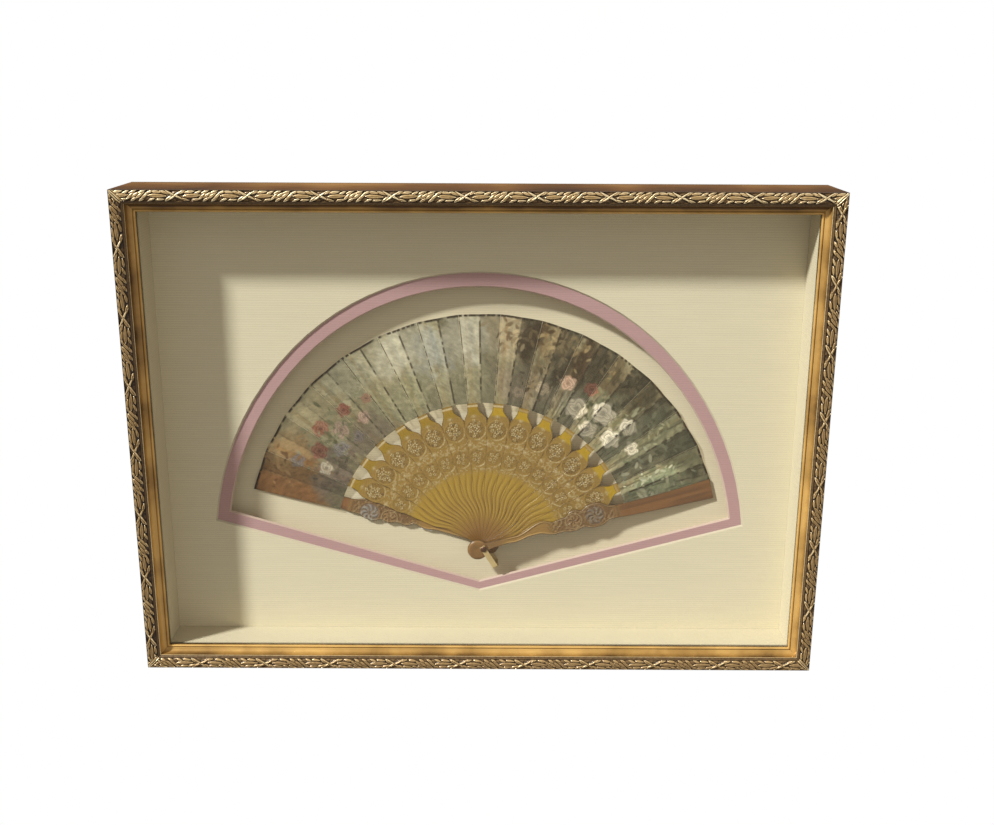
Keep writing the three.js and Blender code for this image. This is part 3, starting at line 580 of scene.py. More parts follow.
def member_matrix(member):
    """From a blade's own frame (x right, y back, z up from the rivet) to the row frame."""
    layer = 0.0 if member == 0 else REAR_GUARD_LAYER + (member - 1) * STICK_LAYER
    turn = math.radians(90 - (REAR_GUARD_ANGLE - member * STICK_PITCH))
    return (Matrix.Translation(PIVOT) @ Matrix.Rotation(LEAN, 4, "Z")
            @ Matrix.Translation((0, -layer, 0)) @ Matrix.Rotation(turn, 4, "Y"))


def moved(points, matrix):
    matrix = np.array(matrix)
    return points.reshape(-1, 3) @ matrix[:3, :3].T + matrix[:3, 3]


def slab(front, back, member):
    """Vertices of a front and a back grid in the row frame, and the index of the front grid."""
    vertices = moved(np.stack([front, back]), member_matrix(member))
    return vertices, np.arange(len(vertices) // 2).reshape(front.shape[:2])


def dish(radius):
    return np.maximum(0, radius - DISH_START) * DISH_SLOPE


def blade_edges(node, member):
    """Heights up from the rivet, and the left and right edge of a CAD blade there, from its back face."""
    points = np.array([vertex.co for vertex in node.data.vertices])
    points = moved(points, member_matrix(member).inverted())
    radius = np.hypot(points[:, 0], points[:, 2])
    back = (np.abs(points[:, 1] - dish(radius)) < 2e-5) & (radius > HOLE_RADIUS + 2e-4)
    sides = {}
    for x, _, z in points[back]:
        sides.setdefault(round(float(z), 6), []).append(float(x))
    heights = sorted(sides)
    ends = (heights[0], heights[-1])
    heights = [height for height in heights
               if height in ends or max(sides[height]) - min(sides[height]) > 1e-3]
    lefts = [min(sides[height]) for height in heights]
    rights = [max(sides[height]) for height in heights]
    return np.array(heights), np.array(lefts), np.array(rights)


def build_blade(node, member, section, carve, *choices):
    """A carved blade. carve takes millimetres and gives its front's setback, colour, gilding and glow."""
    body_thickness, tip_thickness, step_start, step_end = section
    heights, lefts, rights = blade_edges(nodes[node], member)
    columns = 25
    levels = np.concatenate([
        np.linspace(heights[0], -HOLE_RADIUS, 9), np.linspace(-HOLE_RADIUS, HOLE_RADIUS, 9)[1:],
        np.arange(0.0026, CARVED_FROM, 0.0012), np.arange(CARVED_FROM, CARVED_TO, 0.0006),
        np.arange(CARVED_TO, heights[-1], 0.003), [heights[-1]]])
    left = np.interp(levels, heights, lefts)[:, None]
    right = np.interp(levels, heights, rights)[:, None]
    hole = np.sqrt(np.clip(HOLE_RADIUS ** 2 - levels ** 2, 0, None))[:, None]
    middle = (left + right) / 2
    share = np.linspace(0, 1, columns)
    left_part = left + (np.where(hole > 0, -hole, middle) - left) * share
    inner = np.where(hole > 0, hole, middle)
    x = np.concatenate([left_part, inner + (right - inner) * share], 1)
    z = np.repeat(levels[:, None], 2 * columns, 1)
    radius = np.hypot(x, z)
    thickness = body_thickness + (tip_thickness - body_thickness) * smooth(z, step_start, step_end)
    edge = np.minimum(x - left, right - x)
    cut, colour, gold, glow = carve(x * 1000, z * 1000, edge * 1000, *choices)
    front = np.stack([x, dish(radius) - thickness + cut, z], -1)
    back = np.stack([x, dish(radius), z], -1)
    vertices, index = slab(front, back, member)
    halves = (index[:, :columns], index[:, columns:])
    quads = np.concatenate([shell_faces(half, index.size) for half in halves])
    piece = make_object("carved_" + node, vertices, quads, HORN)
    set_colours(piece, "colour", np.concatenate([colour.reshape(-1, 3)] * 2))
    for attribute, values in (("gold", np.clip(gold, 0, 1)), ("glow", glow)):
        set_values(piece, attribute, np.concatenate([values.ravel(), values.ravel() * (attribute == "glow")]))
    return piece


def petals(x, z, flowers, seed):
    """Small flowers in relief, each given as x, z and size in millimetres: the height of their petals."""
    height = np.zeros_like(x)
    for order, (centre_x, centre_z, size) in enumerate(flowers):
        across, along = x - centre_x, z - centre_z
        distance = np.hypot(across, along) / size
        turn = np.arctan2(along, across) + seed + order
        lobes = 0.5 + 0.5 * np.cos(5 * turn)
        height = np.maximum(height, smooth(lobes, 0.25, 0.7) * band(distance, 0.22, 0.4, 0.75, 1.0))
    return height


# Millimetres from the rivet: x, z and radius of the two medallions, and x, z and size of their flowers
UPPER_MEDALLION = (1.2, 127.0, 10.6)
LOWER_MEDALLION = (0.8, 97.0, 9.4)
UPPER_FLOWERS = [
    (-2.6, 132.0, 2.9), (2.4, 130.2, 3.1), (-3.6, 126.2, 2.4), (1.0, 124.6, 2.7), (5.2, 125.6, 2.0),
    (-0.4, 136.6, 2.2), (5.0, 134.2, 1.8), (-5.6, 129.8, 1.7), (-0.8, 120.6, 1.9)]
LOWER_FLOWERS = [
    (-1.4, 100.4, 2.5), (2.4, 97.6, 2.5), (-2.6, 95.2, 2.2), (1.4, 92.8, 1.8), (4.2, 101.4, 1.6)]
FLUTES = (-10.2, -5.4, -0.6, 4.2, 9.0)
# Sticks up to the first number have bright gilt at the neck, and those from the second a clear amber neck
GILT_NECKS_TO = 8
AMBER_NECKS_FROM = 8


def bowl(x, z, medallion):
    """Rim and sunken inside of a round medallion."""
    centre_x, centre_z, radius = medallion
    distance = np.hypot(x - centre_x, z - centre_z)
    return bell(distance - radius, 0.65), 1 - smooth(distance, radius - 1.6, radius - 0.5)


def lower_right(x, z, medallion, reach):
    """Share that grows towards a medallion's lower right, where its rim is painted bright as a highlight on
    its lit side.
    """
    return smooth((x - medallion[0]) - (z - medallion[1]), 5, reach)


def carve_stick(x, z, edge, member):
    """Two flowered medallions, scrolls between them, and S-shaped flutes down to the rivet."""
    seed = member * 13
    upper, upper_inside = bowl(x, z, UPPER_MEDALLION)
    lower, lower_inside = bowl(x, z, LOWER_MEDALLION)
    upper_petals = petals(x, z, UPPER_FLOWERS, seed)
    lower_petals = petals(x, z, LOWER_FLOWERS, seed + 3) * 0.9
    grain = noise(x / 0.9, z / 0.9, seed)
    crumbs = smooth(grain, 0.7, 0.88)
    broken = 0.25 + 0.85 * smooth(noise(x / 0.75, z / 0.75, seed + 6), 0.25, 0.6)
    scroll = bell(x + 6.4, 2.4) * bell(z - 111.4, 1.7)
    curl = bell(np.hypot(x - 4.5, z - 109) - 3.4, 0.7) + bell(np.hypot(x + 3.6, z - 82.5) - 3.2, 0.7)
    curl = curl * smooth(noise(x / 2.4, z / 2.4, seed + 4), 0.25, 0.6)
    between = band(z, 104, 107, 115, 118)
    leafage = smooth(noise(x / 1.7, z / 1.3, seed + 2), 0.52, 0.78)
    leafage = leafage * np.maximum(between, bell(z - 84, 3.0))
    bud = bell(x, 2.0) * bell(z - 141.6, 1.5)
    fillet = band(z, 151.4, 151.9, 153.3, 153.9)
    carved_zone = band(z, 78, 86, 144, 147)

    angle = np.degrees(np.arctan2(x, np.maximum(z, 1)))
    sweep = 6.4 * smooth(z, 32, 58) - 3.0 * smooth(z, 60, 84)
    flute_zone = band(z, 24, 40, 66, 86)
    flute = np.zeros_like(x)
    flute_crest_highlight = np.zeros_like(x)
    for place in FLUTES:
        away = angle + sweep - place
        flute = np.maximum(flute, bell(away, 0.75))
        flute_crest_highlight = np.maximum(flute_crest_highlight, bell(away - 1.7, 0.9))
    flute, flute_crest_highlight = flute * flute_zone, flute_crest_highlight * flute_zone

    relief = np.maximum.reduce([
        upper, lower, upper_petals, lower_petals, scroll, bud, curl, 0.8 * leafage])
    inside = np.maximum(upper_inside, 0.4 * lower_inside)
    pits = smooth(noise(x, z, seed + 9), 0.62, 0.8)
    pits = pits * np.maximum(upper_inside, 0.7 * lower_inside)
    height = 0.6 - 0.4 * inside * (1 - relief) + 0.4 * relief * carved_zone
    height = height - 0.45 * flute + 0.2 * flute_crest_highlight - 0.35 * carved_zone * (1 - relief) * crumbs

    lit = 0.06 + 0.94 * lower_right(x, z, UPPER_MEDALLION, 13)
    lit_lower = 0.04 + 0.96 * lower_right(x, z, LOWER_MEDALLION, 12)
    # The medallion rims keep their gold only towards the lower right, a painted highlight on their lit side;
    # petals, scrolls, bud, curls and leafage carry real gilding.
    gold = np.maximum.reduce([
        0.55 * upper * lit * broken, 0.6 * lower * lit_lower * broken, upper_petals * broken,
        0.8 * lower_petals * broken, 0.6 * scroll, 0.5 * bud, 0.4 * curl, 0.3 * leafage])
    gold = gold * carved_zone * (0.35 + 1.45 * grain)
    gold = np.maximum(gold, fillet * (0.75 if member <= GILT_NECKS_TO else 0.25))

    hollow = carved_zone * (1 - relief) * np.maximum(inside, 0.4 * crumbs)
    heart = bell(x - 0.4, 1.0) * bell(z - 125.6, 1.1)
    heart = np.maximum(heart, 0.8 * bell(x - 0.4, 0.8) * bell(z - 97, 0.9))
    neck = band(z, 141, 144, 150.2, 151.2)
    colour = layered(x.shape, (0.4, 0.24, 0.042), [
        ((0.3, 0.155, 0.042), 1 - smooth(z, 14, 44)),
        ((0.47, 0.295, 0.04), 0.8 * band(z, 46, 66, 84, 100)),
        ((0.35, 0.218, 0.055), 0.75 * carved_zone),
        # Painted shade in the flute grooves, and a painted highlight along the crest beside each.
        ((0.22, 0.12, 0.026), 0.65 * flute),
        ((0.6, 0.4, 0.08), 0.35 * flute_crest_highlight),
        ((0.19, 0.112, 0.034), 0.45 * hollow * (0.3 + grain)),
        ((0.085, 0.05, 0.022), 0.55 * pits * (1 - 0.6 * relief)),
        ((0.06, 0.035, 0.02), 0.8 * heart),
        ((0.74, 0.5, 0.035), neck * (0.85 if member >= AMBER_NECKS_FROM else 0.35)),
        # Darker along the blade's edges: partly patina, partly painted shade where the blades lie over one
        # another.
        ((0.15, 0.08, 0.025), 0.75 * (1 - smooth(edge, 0.15, 0.75)))])
    cut = 0.00034 * (1 - np.clip(height, 0, 1)) * band(z, 16, 30, 155, 158)
    cut = cut * smooth(edge, 0.0, 0.4)
    return cut, colour, gold, 0.1 + 0.25 * neck


def rosette(x, z, centre, radius, count):
    """Raised swirl, rim and ground of a pinwheel rosette with count arms."""
    across, along = x - centre[0], z - centre[1]
    distance = np.hypot(across, along) / radius
    turn = np.arctan2(along, across)
    arms = 0.5 + 0.5 * np.cos(count * turn + 2.2 * np.sin(5 * distance))
    raised = (1 - smooth(distance, 0.72, 0.86)) * smooth(arms, 0.3, 0.75) * smooth(distance, 0.14, 0.26)
    return raised, bell(distance - 0.98, 0.07), 1 - smooth(distance, 0.8, 1.02)


def carve_guard(x, z, edge, first_rosette, second_rosette, stone, plain):
    """Rosettes on the lobes of a guard, raised edges, and a plain blade along the leaf."""
    raised, rim, inside = rosette(x, z, first_rosette, 11.5, 7)
    raised_second, rim_second, inside_second = rosette(x, z, second_rosette, 8.6, 6)
    grain = noise(x / 1.1, z / 1.1, 21)
    carved_zone = band(z, 66, 76, 140, 146)
    beading = bell(edge - 1.0, 0.6) * band(z, 14, 30, 140, 146)
    leafage = smooth(noise(x / 2.2, z / 1.8, 25), 0.5, 0.8) * carved_zone
    relief = np.maximum.reduce([raised, 0.9 * raised_second, 0.8 * rim, 0.9 * rim_second, 0.7 * leafage])
    height = 0.35 + 0.65 * np.maximum(relief * carved_zone, beading)
    outer = smooth(z, 147, 152)
    streak = noise(x / 3.0, z / 45, 31)
    colour = layered(x.shape, (0.25, 0.14, 0.05), [
        ((0.35, 0.2, 0.055), band(z, 12, 30, 66, 90)),
        ((0.13, 0.075, 0.034), 0.6 * carved_zone * (1 - relief) * (0.4 + 0.6 * grain)),
        (stone, 0.9 * inside * (0.35 + 0.65 * raised)),
        ((0.26, 0.13, 0.045), 0.6 * inside_second * raised_second),
        (plain, outer),
        ((0.1, 0.05, 0.025), 0.5 * smooth(streak, 0.45, 0.9) * outer),
        ((0.075, 0.04, 0.018), 0.7 * (1 - smooth(edge, 0.1, 0.6)))])
    gold = 0.12 * raised * inside + 0.22 * rim_second + 0.12 * raised_second
    gold = (gold + 0.12 * leafage + 0.16 * beading) * (0.3 + grain) * (1 - outer)
    cut = 0.0008 * (1 - np.clip(height, 0, 1)) * band(z, 16, 30, 142, 147)
    return cut, colour, gold, np.full(x.shape, 0.05)


def build_blades():
    for member in range(1, STICK_COUNT + 1):
        name = f"stick_{member:02d}"
        piece = build_blade(name, member, STICK_SECTION, carve_stick, member)
        dress(piece, name, name)
    rear = build_blade("rear_guard", 0, REAR_GUARD_SECTION, carve_guard,
                       (-1.5, 125), (-1.0, 103), (0.23, 0.225, 0.225), (0.27, 0.125, 0.045))
    dress(rear, "rear_guard", "case")
    front = build_blade("front_guard", FRONT_MEMBER, FRONT_GUARD_SECTION, carve_guard,
                        (-4.5, 122), (-4.0, 99), (0.15, 0.122, 0.105), (0.25, 0.12, 0.042))
    dress(front, "front_guard", "front_guard")


def build_knob():
    """Polished dome on the head of the front guard, pierced for the rivet."""
    radius, setback, rise, base = 0.0108, 0.0063, 0.0014, 0.0022
    spokes = 48
    share, turn = spokes_of(14, spokes)
    offset = np.sin(turn) * setback
    far = -offset + np.sqrt(offset ** 2 - setback ** 2 + radius ** 2)
    reach = HOLE_RADIUS + (far - HOLE_RADIUS) * share
    x, z = np.cos(turn) * reach, np.sin(turn) * reach
    out = np.clip(np.hypot(x, z + setback) / radius, 0, 1)
    y = -(base + rise * np.sqrt(1 - out ** 4))
    y[-1] = -base * 0.5
    inner = np.full((1, spokes), -base * 0.5)
    rows = [np.stack([x, y, z], -1), np.stack([x[:1], inner, z[:1]], -1)]
    vertices = np.concatenate(rows).reshape(-1, 3)
    index = closed_rings(vertices, spokes)
    index = np.concatenate([index[-1:], index[:-1], index[-1:]])
    placed = moved(vertices, member_matrix(FRONT_MEMBER))
    piece = make_object("guard_knob", placed, grid_faces(index), HORN)
    mottle = 0.75 + 0.5 * clouds(vertices[:, 0] / 0.004, vertices[:, 2] / 0.004, 3)
    set_colours(piece, "colour", mottle[:, None] * (0.265, 0.14, 0.046))
    set_values(piece, "gold", np.zeros(len(vertices)))
    set_values(piece, "glow", np.full(len(vertices), 0.08))
    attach(piece, "front_guard")


# Leaf. Places on it are given as degrees anticlockwise from the right and metres from the rivet.

WASHES = [
    # angle, radius, reach in each, tint, strength
    (140, 0.205, 30, 0.06, (0.37, 0.335, 0.205), 0.9),
    (162, 0.215, 11, 0.05, (0.33, 0.165, 0.062), 0.95),
    (152, 0.228, 6, 0.022, (0.45, 0.285, 0.125), 0.8),
    (161, 0.163, 5, 0.014, (0.23, 0.215, 0.14), 0.85),
    (150, 0.176, 12, 0.02, (0.235, 0.185, 0.155), 0.9),
    (132, 0.168, 12, 0.02, (0.245, 0.205, 0.155), 0.85),
    (144, 0.236, 8, 0.018, (0.4, 0.36, 0.225), 0.8),
    (127, 0.228, 7, 0.026, (0.33, 0.335, 0.25), 0.85),
    (116, 0.18, 13, 0.028, (0.315, 0.32, 0.205), 0.85),
    (113, 0.228, 9, 0.026, (0.52, 0.52, 0.43), 0.9),
    (104, 0.212, 6, 0.03, (0.4, 0.44, 0.42), 0.8),
    (96, 0.178, 10, 0.024, (0.33, 0.32, 0.21), 0.85),
    (94, 0.224, 7, 0.032, (0.5, 0.5, 0.43), 0.85),
    (85, 0.226, 5, 0.028, (0.44, 0.375, 0.255), 0.85),
    (78, 0.23, 4.2, 0.032, (0.13, 0.078, 0.036), 0.95),
    (76, 0.178, 12, 0.024, (0.3, 0.255, 0.185), 0.9),
    (71, 0.228, 3.4, 0.026, (0.36, 0.265, 0.14), 0.75),
    (64, 0.222, 5, 0.04, (0.085, 0.052, 0.028), 0.95),
    (55, 0.226, 6, 0.03, (0.13, 0.1, 0.055), 0.9),
    (56, 0.18, 12, 0.022, (0.23, 0.225, 0.17), 0.85),
    (44, 0.228, 7, 0.03, (0.075, 0.065, 0.038), 0.92),
    (36, 0.184, 9, 0.03, (0.215, 0.235, 0.16), 0.85),
    (33, 0.226, 6, 0.03, (0.15, 0.165, 0.105), 0.88),
    (25, 0.232, 5, 0.026, (0.1, 0.11, 0.07), 0.88),
    (20, 0.192, 6, 0.036, (0.29, 0.36, 0.23), 0.9),
    (15, 0.228, 4, 0.026, (0.235, 0.29, 0.18), 0.85),
]
# angle, radius, half width in metres, tint
BLOSSOMS = [
    (149, 0.199, 0.01, (0.36, 0.12, 0.09)), (143, 0.211, 0.0094, (0.42, 0.16, 0.11)),
    (139.5, 0.194, 0.0096, (0.46, 0.32, 0.28)), (154.5, 0.214, 0.0082, (0.27, 0.24, 0.25)),
    (144.5, 0.181, 0.0092, (0.31, 0.3, 0.32)), (134.5, 0.206, 0.008, (0.38, 0.13, 0.1)),
    (153, 0.184, 0.0078, (0.56, 0.52, 0.44)), (131.5, 0.186, 0.0074, (0.54, 0.36, 0.31)),
    (137.5, 0.176, 0.007, (0.27, 0.23, 0.24)), (127, 0.2, 0.006, (0.42, 0.21, 0.15)),
    (57.5, 0.178, 0.0118, (0.64, 0.6, 0.49)), (49.5, 0.19, 0.013, (0.74, 0.69, 0.57)),
    (50, 0.167, 0.01, (0.62, 0.58, 0.47)), (42, 0.176, 0.0112, (0.68, 0.65, 0.54)),
    (41, 0.198, 0.0098, (0.58, 0.56, 0.47)), (64, 0.197, 0.0088, (0.52, 0.36, 0.28)),
    (70.5, 0.181, 0.0076, (0.56, 0.47, 0.34)), (57, 0.203, 0.008, (0.36, 0.13, 0.09)),
    (35, 0.187, 0.008, (0.6, 0.58, 0.48)), (78, 0.171, 0.006, (0.5, 0.4, 0.3)),
]
# angle, radius, reach in each, number of strokes, first and second tint
FOLIAGE = [
    (144, 0.197, 10, 0.026, 110, (0.13, 0.15, 0.075), (0.4, 0.4, 0.27)),
    (150, 0.176, 7, 0.014, 40, (0.11, 0.095, 0.07), (0.32, 0.26, 0.2)),
    (129, 0.21, 6, 0.02, 44, (0.22, 0.24, 0.15), (0.5, 0.49, 0.36)),
    (116, 0.176, 7, 0.014, 34, (0.2, 0.21, 0.115), (0.44, 0.43, 0.29)),
    (98, 0.186, 8, 0.014, 30, (0.22, 0.22, 0.13), (0.43, 0.41, 0.28)),
    (50, 0.186, 12, 0.024, 120, (0.05, 0.06, 0.03), (0.25, 0.27, 0.17)),
    (73, 0.192, 7, 0.02, 50, (0.1, 0.07, 0.035), (0.38, 0.31, 0.19)),
    (83, 0.23, 5, 0.018, 60, (0.16, 0.105, 0.055), (0.56, 0.46, 0.29)),
    (71, 0.234, 7, 0.014, 50, (0.12, 0.07, 0.03), (0.48, 0.37, 0.19)),
    (52, 0.232, 9, 0.016, 60, (0.05, 0.04, 0.022), (0.3, 0.24, 0.13)),
    (34, 0.216, 8, 0.024, 60, (0.08, 0.095, 0.055), (0.33, 0.35, 0.24)),
    (22, 0.188, 8, 0.03, 90, (0.12, 0.16, 0.095), (0.56, 0.6, 0.47)),
    (158, 0.222, 7, 0.02, 40, (0.18, 0.08, 0.03), (0.52, 0.32, 0.14)),
]


def foliage_strokes():
    """Leaf-shaped brush strokes: angle, radius, length, lean in degrees and tint."""
    rng = np.random.default_rng(7)
    strokes = []
    for angle, radius, spread, reach, number, first, second in FOLIAGE:
        for _ in range(number):
            away = rng.normal(0, 0.5, 2)
            tint = np.array(first) + (np.array(second) - first) * rng.random()
            strokes.append((angle + away[0] * spread, radius + away[1] * reach,
                            0.002 + 0.0036 * rng.random() ** 1.5, rng.uniform(0, 180), tint))
    return strokes


STROKES = foliage_strokes()


def paint_stroke(colour, theta, radius, angle, height, length, lean, tint):
    turn = math.radians(lean)
    x = np.radians(theta - angle) * height
    y = radius - height
    forward = (x * math.cos(turn) + y * math.sin(turn)) / length
    aside = (y * math.cos(turn) - x * math.sin(turn)) / (length * 0.42)
    return tinted(colour, tint, 0.85 * (1 - smooth(np.hypot(forward, aside), 0.6, 1.1)))


def paint_blossom(colour, theta, radius, angle, height, size, tint, seed):
    """A full round blossom with folded petals, a deep heart and a ragged soft edge."""
    x = np.radians(theta - angle) * height
    y = radius - height
    distance = np.hypot(x, y) / size
    turn = np.arctan2(y, x)
    ragged = 0.3 * (clouds(theta / 1.1, radius / 0.004, int(seed)) - 0.5)
    outline = 1 + 0.1 * np.cos(5 * turn + seed) + 0.05 * np.cos(8 * turn + 2 * seed) + ragged
    inside = 1 - smooth(distance / outline, 0.7, 1.02)
    fold = (2.6 * distance + 0.42 * np.cos(3 * turn + seed) + 0.22 * np.cos(5 * turn - 2 * seed)) % 1.0
    tint = np.array(tint)
    shaded = tint * 0.52
    pale = np.clip(tint * 1.18 + 0.05, 0, 0.8)
    colour = tinted(colour, tint, 0.88 * inside)
    colour = tinted(colour, shaded, 0.75 * inside * (1 - smooth(fold, 0.05, 0.45)))
    colour = tinted(colour, pale, 0.7 * inside * smooth(fold, 0.55, 0.95))
    return tinted(colour, shaded * 0.6, 0.6 * inside * (1 - smooth(distance, 0.08, 0.34)))


def paint_leaf(theta, radius):
    """Soft washes, foliage and two sprays of blossom."""
    drift = (clouds(theta / 4, radius / 0.018, 80) - 0.5) * 9
    lift = (clouds(theta / 4, radius / 0.018, 90) - 0.5) * 0.026
    colour = np.zeros((*theta.shape, 3)) + (0.29, 0.275, 0.175)
    for order, (angle, height, spread, reach, tint, strength) in enumerate(WASHES):
        away = np.hypot((theta + drift - angle) / spread, (radius + lift - height) / reach)
        away = away + 0.5 * (clouds(theta / 1.2, radius / 0.005, order) - 0.5)
        colour = tinted(colour, tint, strength * (1 - smooth(away, 0.5, 1.25)))
    mottle = clouds(theta / 1.0, radius / 0.004, 40)
    brushed = clouds((theta + radius * 300) / 2.2, (radius * 300 - theta) / 0.7, 47)
    colour = colour * (0.52 + 0.48 * mottle + 0.48 * brushed)[..., None]
    streak = smooth(clouds(theta / 0.5, radius / 0.014, 44), 0.48, 0.7)
    colour = tinted(colour, (0.06, 0.048, 0.028), 0.55 * streak * (1 - smooth(theta, 66, 84)))
    near = [stroke for stroke in STROKES if theta.min() - 2 < stroke[0] < theta.max() + 2]
    behind = len(near) * 2 // 3
    for stroke in near[:behind]:
        colour = paint_stroke(colour, theta, radius, *stroke)
    for order, (angle, *blossom) in enumerate(BLOSSOMS):
        if theta.min() - 6 < angle < theta.max() + 6:
            colour = paint_blossom(colour, theta, radius, angle, *blossom, order * 1.7)
    for stroke in near[behind:]:
        colour = paint_stroke(colour, theta, radius, *stroke)
    worn = noise(theta / 0.6, 0 * theta, 60)
    rim = smooth(radius, LEAF_OUTER - 0.003, LEAF_OUTER - 0.0016) * smooth(worn, 0.15, 0.4)
    colour = colour * (colour.mean(axis=-1, keepdims=True) / 0.22) ** 0.25
    return tinted(colour, (0.024, 0.013, 0.007), rim)


HALF_PANEL = STICK_PITCH / 4
CREASE_SHIFT = 0.7
LEAF_THICKNESS = 0.0003
LEAF_SEAT = 0.0008
PLEAT_INNER = 0.0007
PLEAT_OUTER = 0.0018
SLIDE_GAP = 0.00025
EDGE_DIP = 0.012


def build_pleat(member):
    """The panel glued over one stick, and the panel that climbs to the ridge over the next."""
    on_guard = member == 0
    under_guard = member + 1 == FRONT_MEMBER
    step = REAR_GUARD_LAYER if on_guard else STICK_LAYER
    first = -HALF_PANEL if on_guard else CREASE_SHIFT - HALF_PANEL
    middle = HALF_PANEL + CREASE_SHIFT
    last = 3 * HALF_PANEL + 1 if under_guard else 3 * HALF_PANEL + CREASE_SHIFT - 0.06
    panel = np.linspace(0, 1, 34)
    angles = np.concatenate([first + (middle - first) * panel, middle + (last - middle) * panel[1:]])
    radii = np.linspace(LEAF_INNER, LEAF_OUTER, 168)
    radius, angle = np.meshgrid(radii, angles, indexing="ij")
    wave = (PLEAT_INNER + (PLEAT_OUTER - PLEAT_INNER) * (radius - LEAF_INNER) / (LEAF_OUTER - LEAF_INNER)) / 2
    flat = GUARD_BLADE + SLIDE_GAP
    ridge = flat if on_guard else LEAF_SEAT + wave
    valley = flat if on_guard else LEAF_SEAT - wave
    next_ridge = step - SLIDE_GAP - LEAF_THICKNESS if under_guard else step + LEAF_SEAT + wave
    falling = ridge + (valley - ridge) * np.clip((angle - first) / (middle - first), 0, 1)
    rising = valley + (next_ridge - valley) * np.clip((angle - middle) / (last - middle), 0, 1)
    height = np.where(angle <= middle, falling, rising)
    dip = np.interp(angle, [first, middle, last], [0, 1, 0])
    reach = LEAF_INNER + (radius - LEAF_INNER) * (1 - EDGE_DIP * dip)
    turn = np.radians(angle)
    back = np.stack([reach * np.sin(turn), dish(radius) - height, reach * np.cos(turn)], -1)
    front = back - (0, LEAF_THICKNESS, 0)
    vertices, index = slab(front, back, member)
    quads = shell_faces(index, index.size)
    piece = make_object(f"painted_pleat_{member + 1:02d}", vertices, quads, LEAF, False)
    theta = REAR_GUARD_ANGLE - member * STICK_PITCH - angle
    colour = paint_leaf(theta, radius)
    depth = 1.1 - 0.25 * smooth(theta, 70, 96) - 0.24 * smooth(theta, 114, 134) - 0.36 * bell(theta - 74, 9)
    colour = colour * depth[..., None] * (1, 0.955, 0.87)
    # Painted light and shade on the pleats: the falling panel is lighter and the rising one darker, most where
    # the folds run across the light from the upper left.
    pleat_light_contrast = 0.08 + 0.52 * abs(math.sin(math.radians(REAR_GUARD_ANGLE - member * STICK_PITCH - 140)))
    colour = colour * np.where(angle <= middle, 1 + 0.6 * pleat_light_contrast, 1 - pleat_light_contrast)[..., None]
    # Dark lines along the creases, broken by wear and weaker on the left: partly worn dirt, partly painted
    # shade in the folds.
    crease = np.minimum(np.abs(angle - middle), np.abs(angle - first)) * np.pi / 180 * radius
    worn = smooth(noise(radius / 0.003, 0 * theta + member, 71), 0.25, 0.65)
    strength = 0.95 - 0.55 * smooth(theta, 124, 140)
    colour = tinted(colour, (0.03, 0.02, 0.012),
                    strength * (0.25 + 0.75 * worn) * (1 - smooth(crease, 0.0004, 0.0015)))
    mottle = 0.85 + 0.3 * noise(theta, radius / 0.01, 5)
    lining = mottle[..., None] * (0.5, 0.46, 0.36)
    set_colours(piece, "colour", np.concatenate([colour.reshape(-1, 3), lining.reshape(-1, 3)]))
    thin = smooth(colour @ (0.21, 0.72, 0.07), 0.05, 0.28).ravel()
    set_values(piece, "sheer", np.concatenate([0.04 + 0.16 * thin, 0.5 + 0.4 * thin]))

    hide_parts(f"leaf_pleat_{member + 1:02d}")
    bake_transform(piece)


# Camera and light. The camera was solved from the corners of the frame in the photo.

CAMERA_ANGLES = (-16.184, 0.0494, -0.248)
CAMERA_PLACE = (0.0190067, -1.1115774 + FRONT, 0.600207)
CAMERA_LENS = 43.129
SUN_STRENGTH = 5.4
SUN_DIRECTION = (1.6, 1.0, -1.59)
ROOM_LEVEL = 0.42
ROOM_TINT = (1.0, 0.93, 0.84)
# How much more light comes from the right and from above than from the other sides
ROOM_SLOPE = (0.12, 0.0, 0.08)
# Share of the white background in reflections
MIRRORED = 0.2


def set_camera():
    pitch, yaw, roll = (math.radians(angle) for angle in CAMERA_ANGLES)
    turn = Matrix.Rotation(yaw, 3, "Z") @ Matrix.Rotation(pitch, 3, "X") @ Matrix.Rotation(roll, 3, "Y")
    right, forward, up = turn.col
    camera = bpy.data.cameras.new("camera")
    camera.sensor_fit = "HORIZONTAL"
    camera.sensor_width = 36
    camera.lens = CAMERA_LENS
    camera.clip_start = 0.01
    holder = bpy.data.objects.new("camera", camera)
    bpy.context.scene.collection.objects.link(holder)
    placed = Matrix((right, up, -forward)).transposed().to_4x4()
    placed.translation = CAMERA_PLACE
    holder.matrix_world = placed
    bpy.context.scene.camera = holder


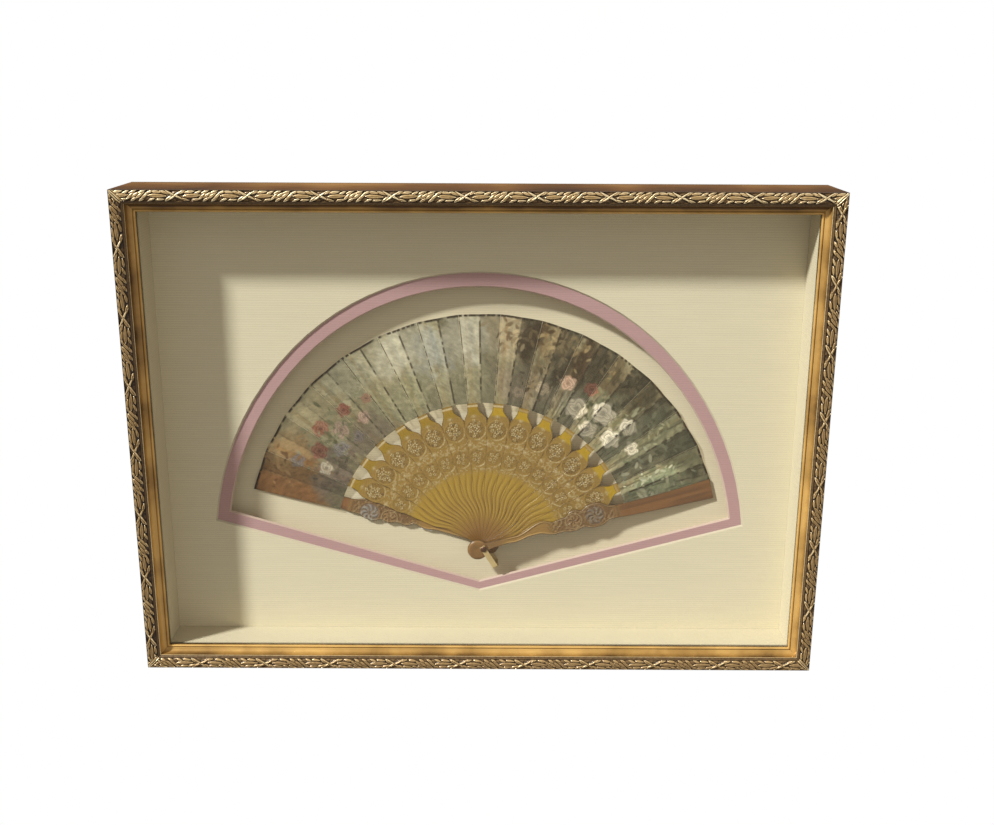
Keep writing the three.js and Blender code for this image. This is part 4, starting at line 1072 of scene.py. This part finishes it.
def set_light():
    sun = bpy.data.lights.new("window", "SUN")
    sun.energy = SUN_STRENGTH
    sun.angle = math.radians(5)
    sun.color = (0.96, 0.98, 1.0)
    lamp = bpy.data.objects.new("window", sun)
    bpy.context.scene.collection.objects.link(lamp)
    lamp.rotation_euler = Vector(SUN_DIRECTION).to_track_quat("-Z", "Y").to_euler()
    world = bpy.data.worlds.new("room")
    bpy.context.scene.world = world
    world.use_nodes = True
    sky = Nodes(world.node_tree)
    direction = sky.node("TexCoord", out="Generated")
    slope = sky.node("VectorMath", {0: direction, 1: ROOM_SLOPE}, "Value", operation="DOT_PRODUCT")
    room = sky.node("Background", {"Color": ROOM_TINT, "Strength": sky.add(slope, ROOM_LEVEL)})
    white = sky.node("Background", {"Color": (1, 1, 1), "Strength": 1.0})
    seen, glossy, passed = (sky.node("LightPath", out=f"Is {ray} Ray")
                            for ray in ("Camera", "Glossy", "Transmission"))
    bent = sky.times(sky.math("MAXIMUM", glossy, passed), MIRRORED)
    shown = sky.node("MixShader", {0: sky.math("MAXIMUM", seen, bent), 1: room, 2: white})
    output = sky.tree.nodes.new("ShaderNodeOutputWorld")
    sky.feed(output.inputs[0], shown)
    bpy.context.scene.view_settings.view_transform = "Standard"


def build_screws():
    """A pan-head screw with a cross slot on the tongue of each strap hanger."""
    radius, rise, slot, slot_depth, height = 0.0021, 0.0009, 0.00032, 0.0005, 0.3362
    spokes = 40
    share, turn = spokes_of(12, spokes)
    for side in ("left", "right"):
        low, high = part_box("hanger_strap_" + side)
        seat = low.y + 0.0012
        x = radius * share * np.cos(turn)
        z = radius * share * np.sin(turn)
        dome = rise * np.sqrt(np.clip(1 - 0.9 * share ** 4, 0, 1)) + 0 * turn
        in_slot = (np.minimum(np.abs(x + z), np.abs(x - z)) < slot) & (share < 0.6)
        y = np.where(in_slot, dome - slot_depth, dome)
        rows = np.concatenate([np.stack([x, y, z], -1), np.stack([x[-1:], 0 * x[-1:], z[-1:]], -1)])
        vertices = rows.reshape(-1, 3) + ((low.x + high.x) / 2, seat, height)
        index = closed_rings(vertices, spokes)
        piece = make_object("hanger_screw_" + side, vertices, grid_faces(index), STEEL,
                            caps=(index[-1, :-1],))
        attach(piece, "case")


def finish_plain_nodes():
    for material, slot, names in PLAIN_NODES:
        for name in names:
            nodes[name].data.materials.clear()
            nodes[name].data.materials.append(material)


build_frame()
build_blades()
build_knob()
for member_number in range(FRONT_MEMBER):
    build_pleat(member_number)
finish_plain_nodes()
build_screws()
set_camera()
set_light()
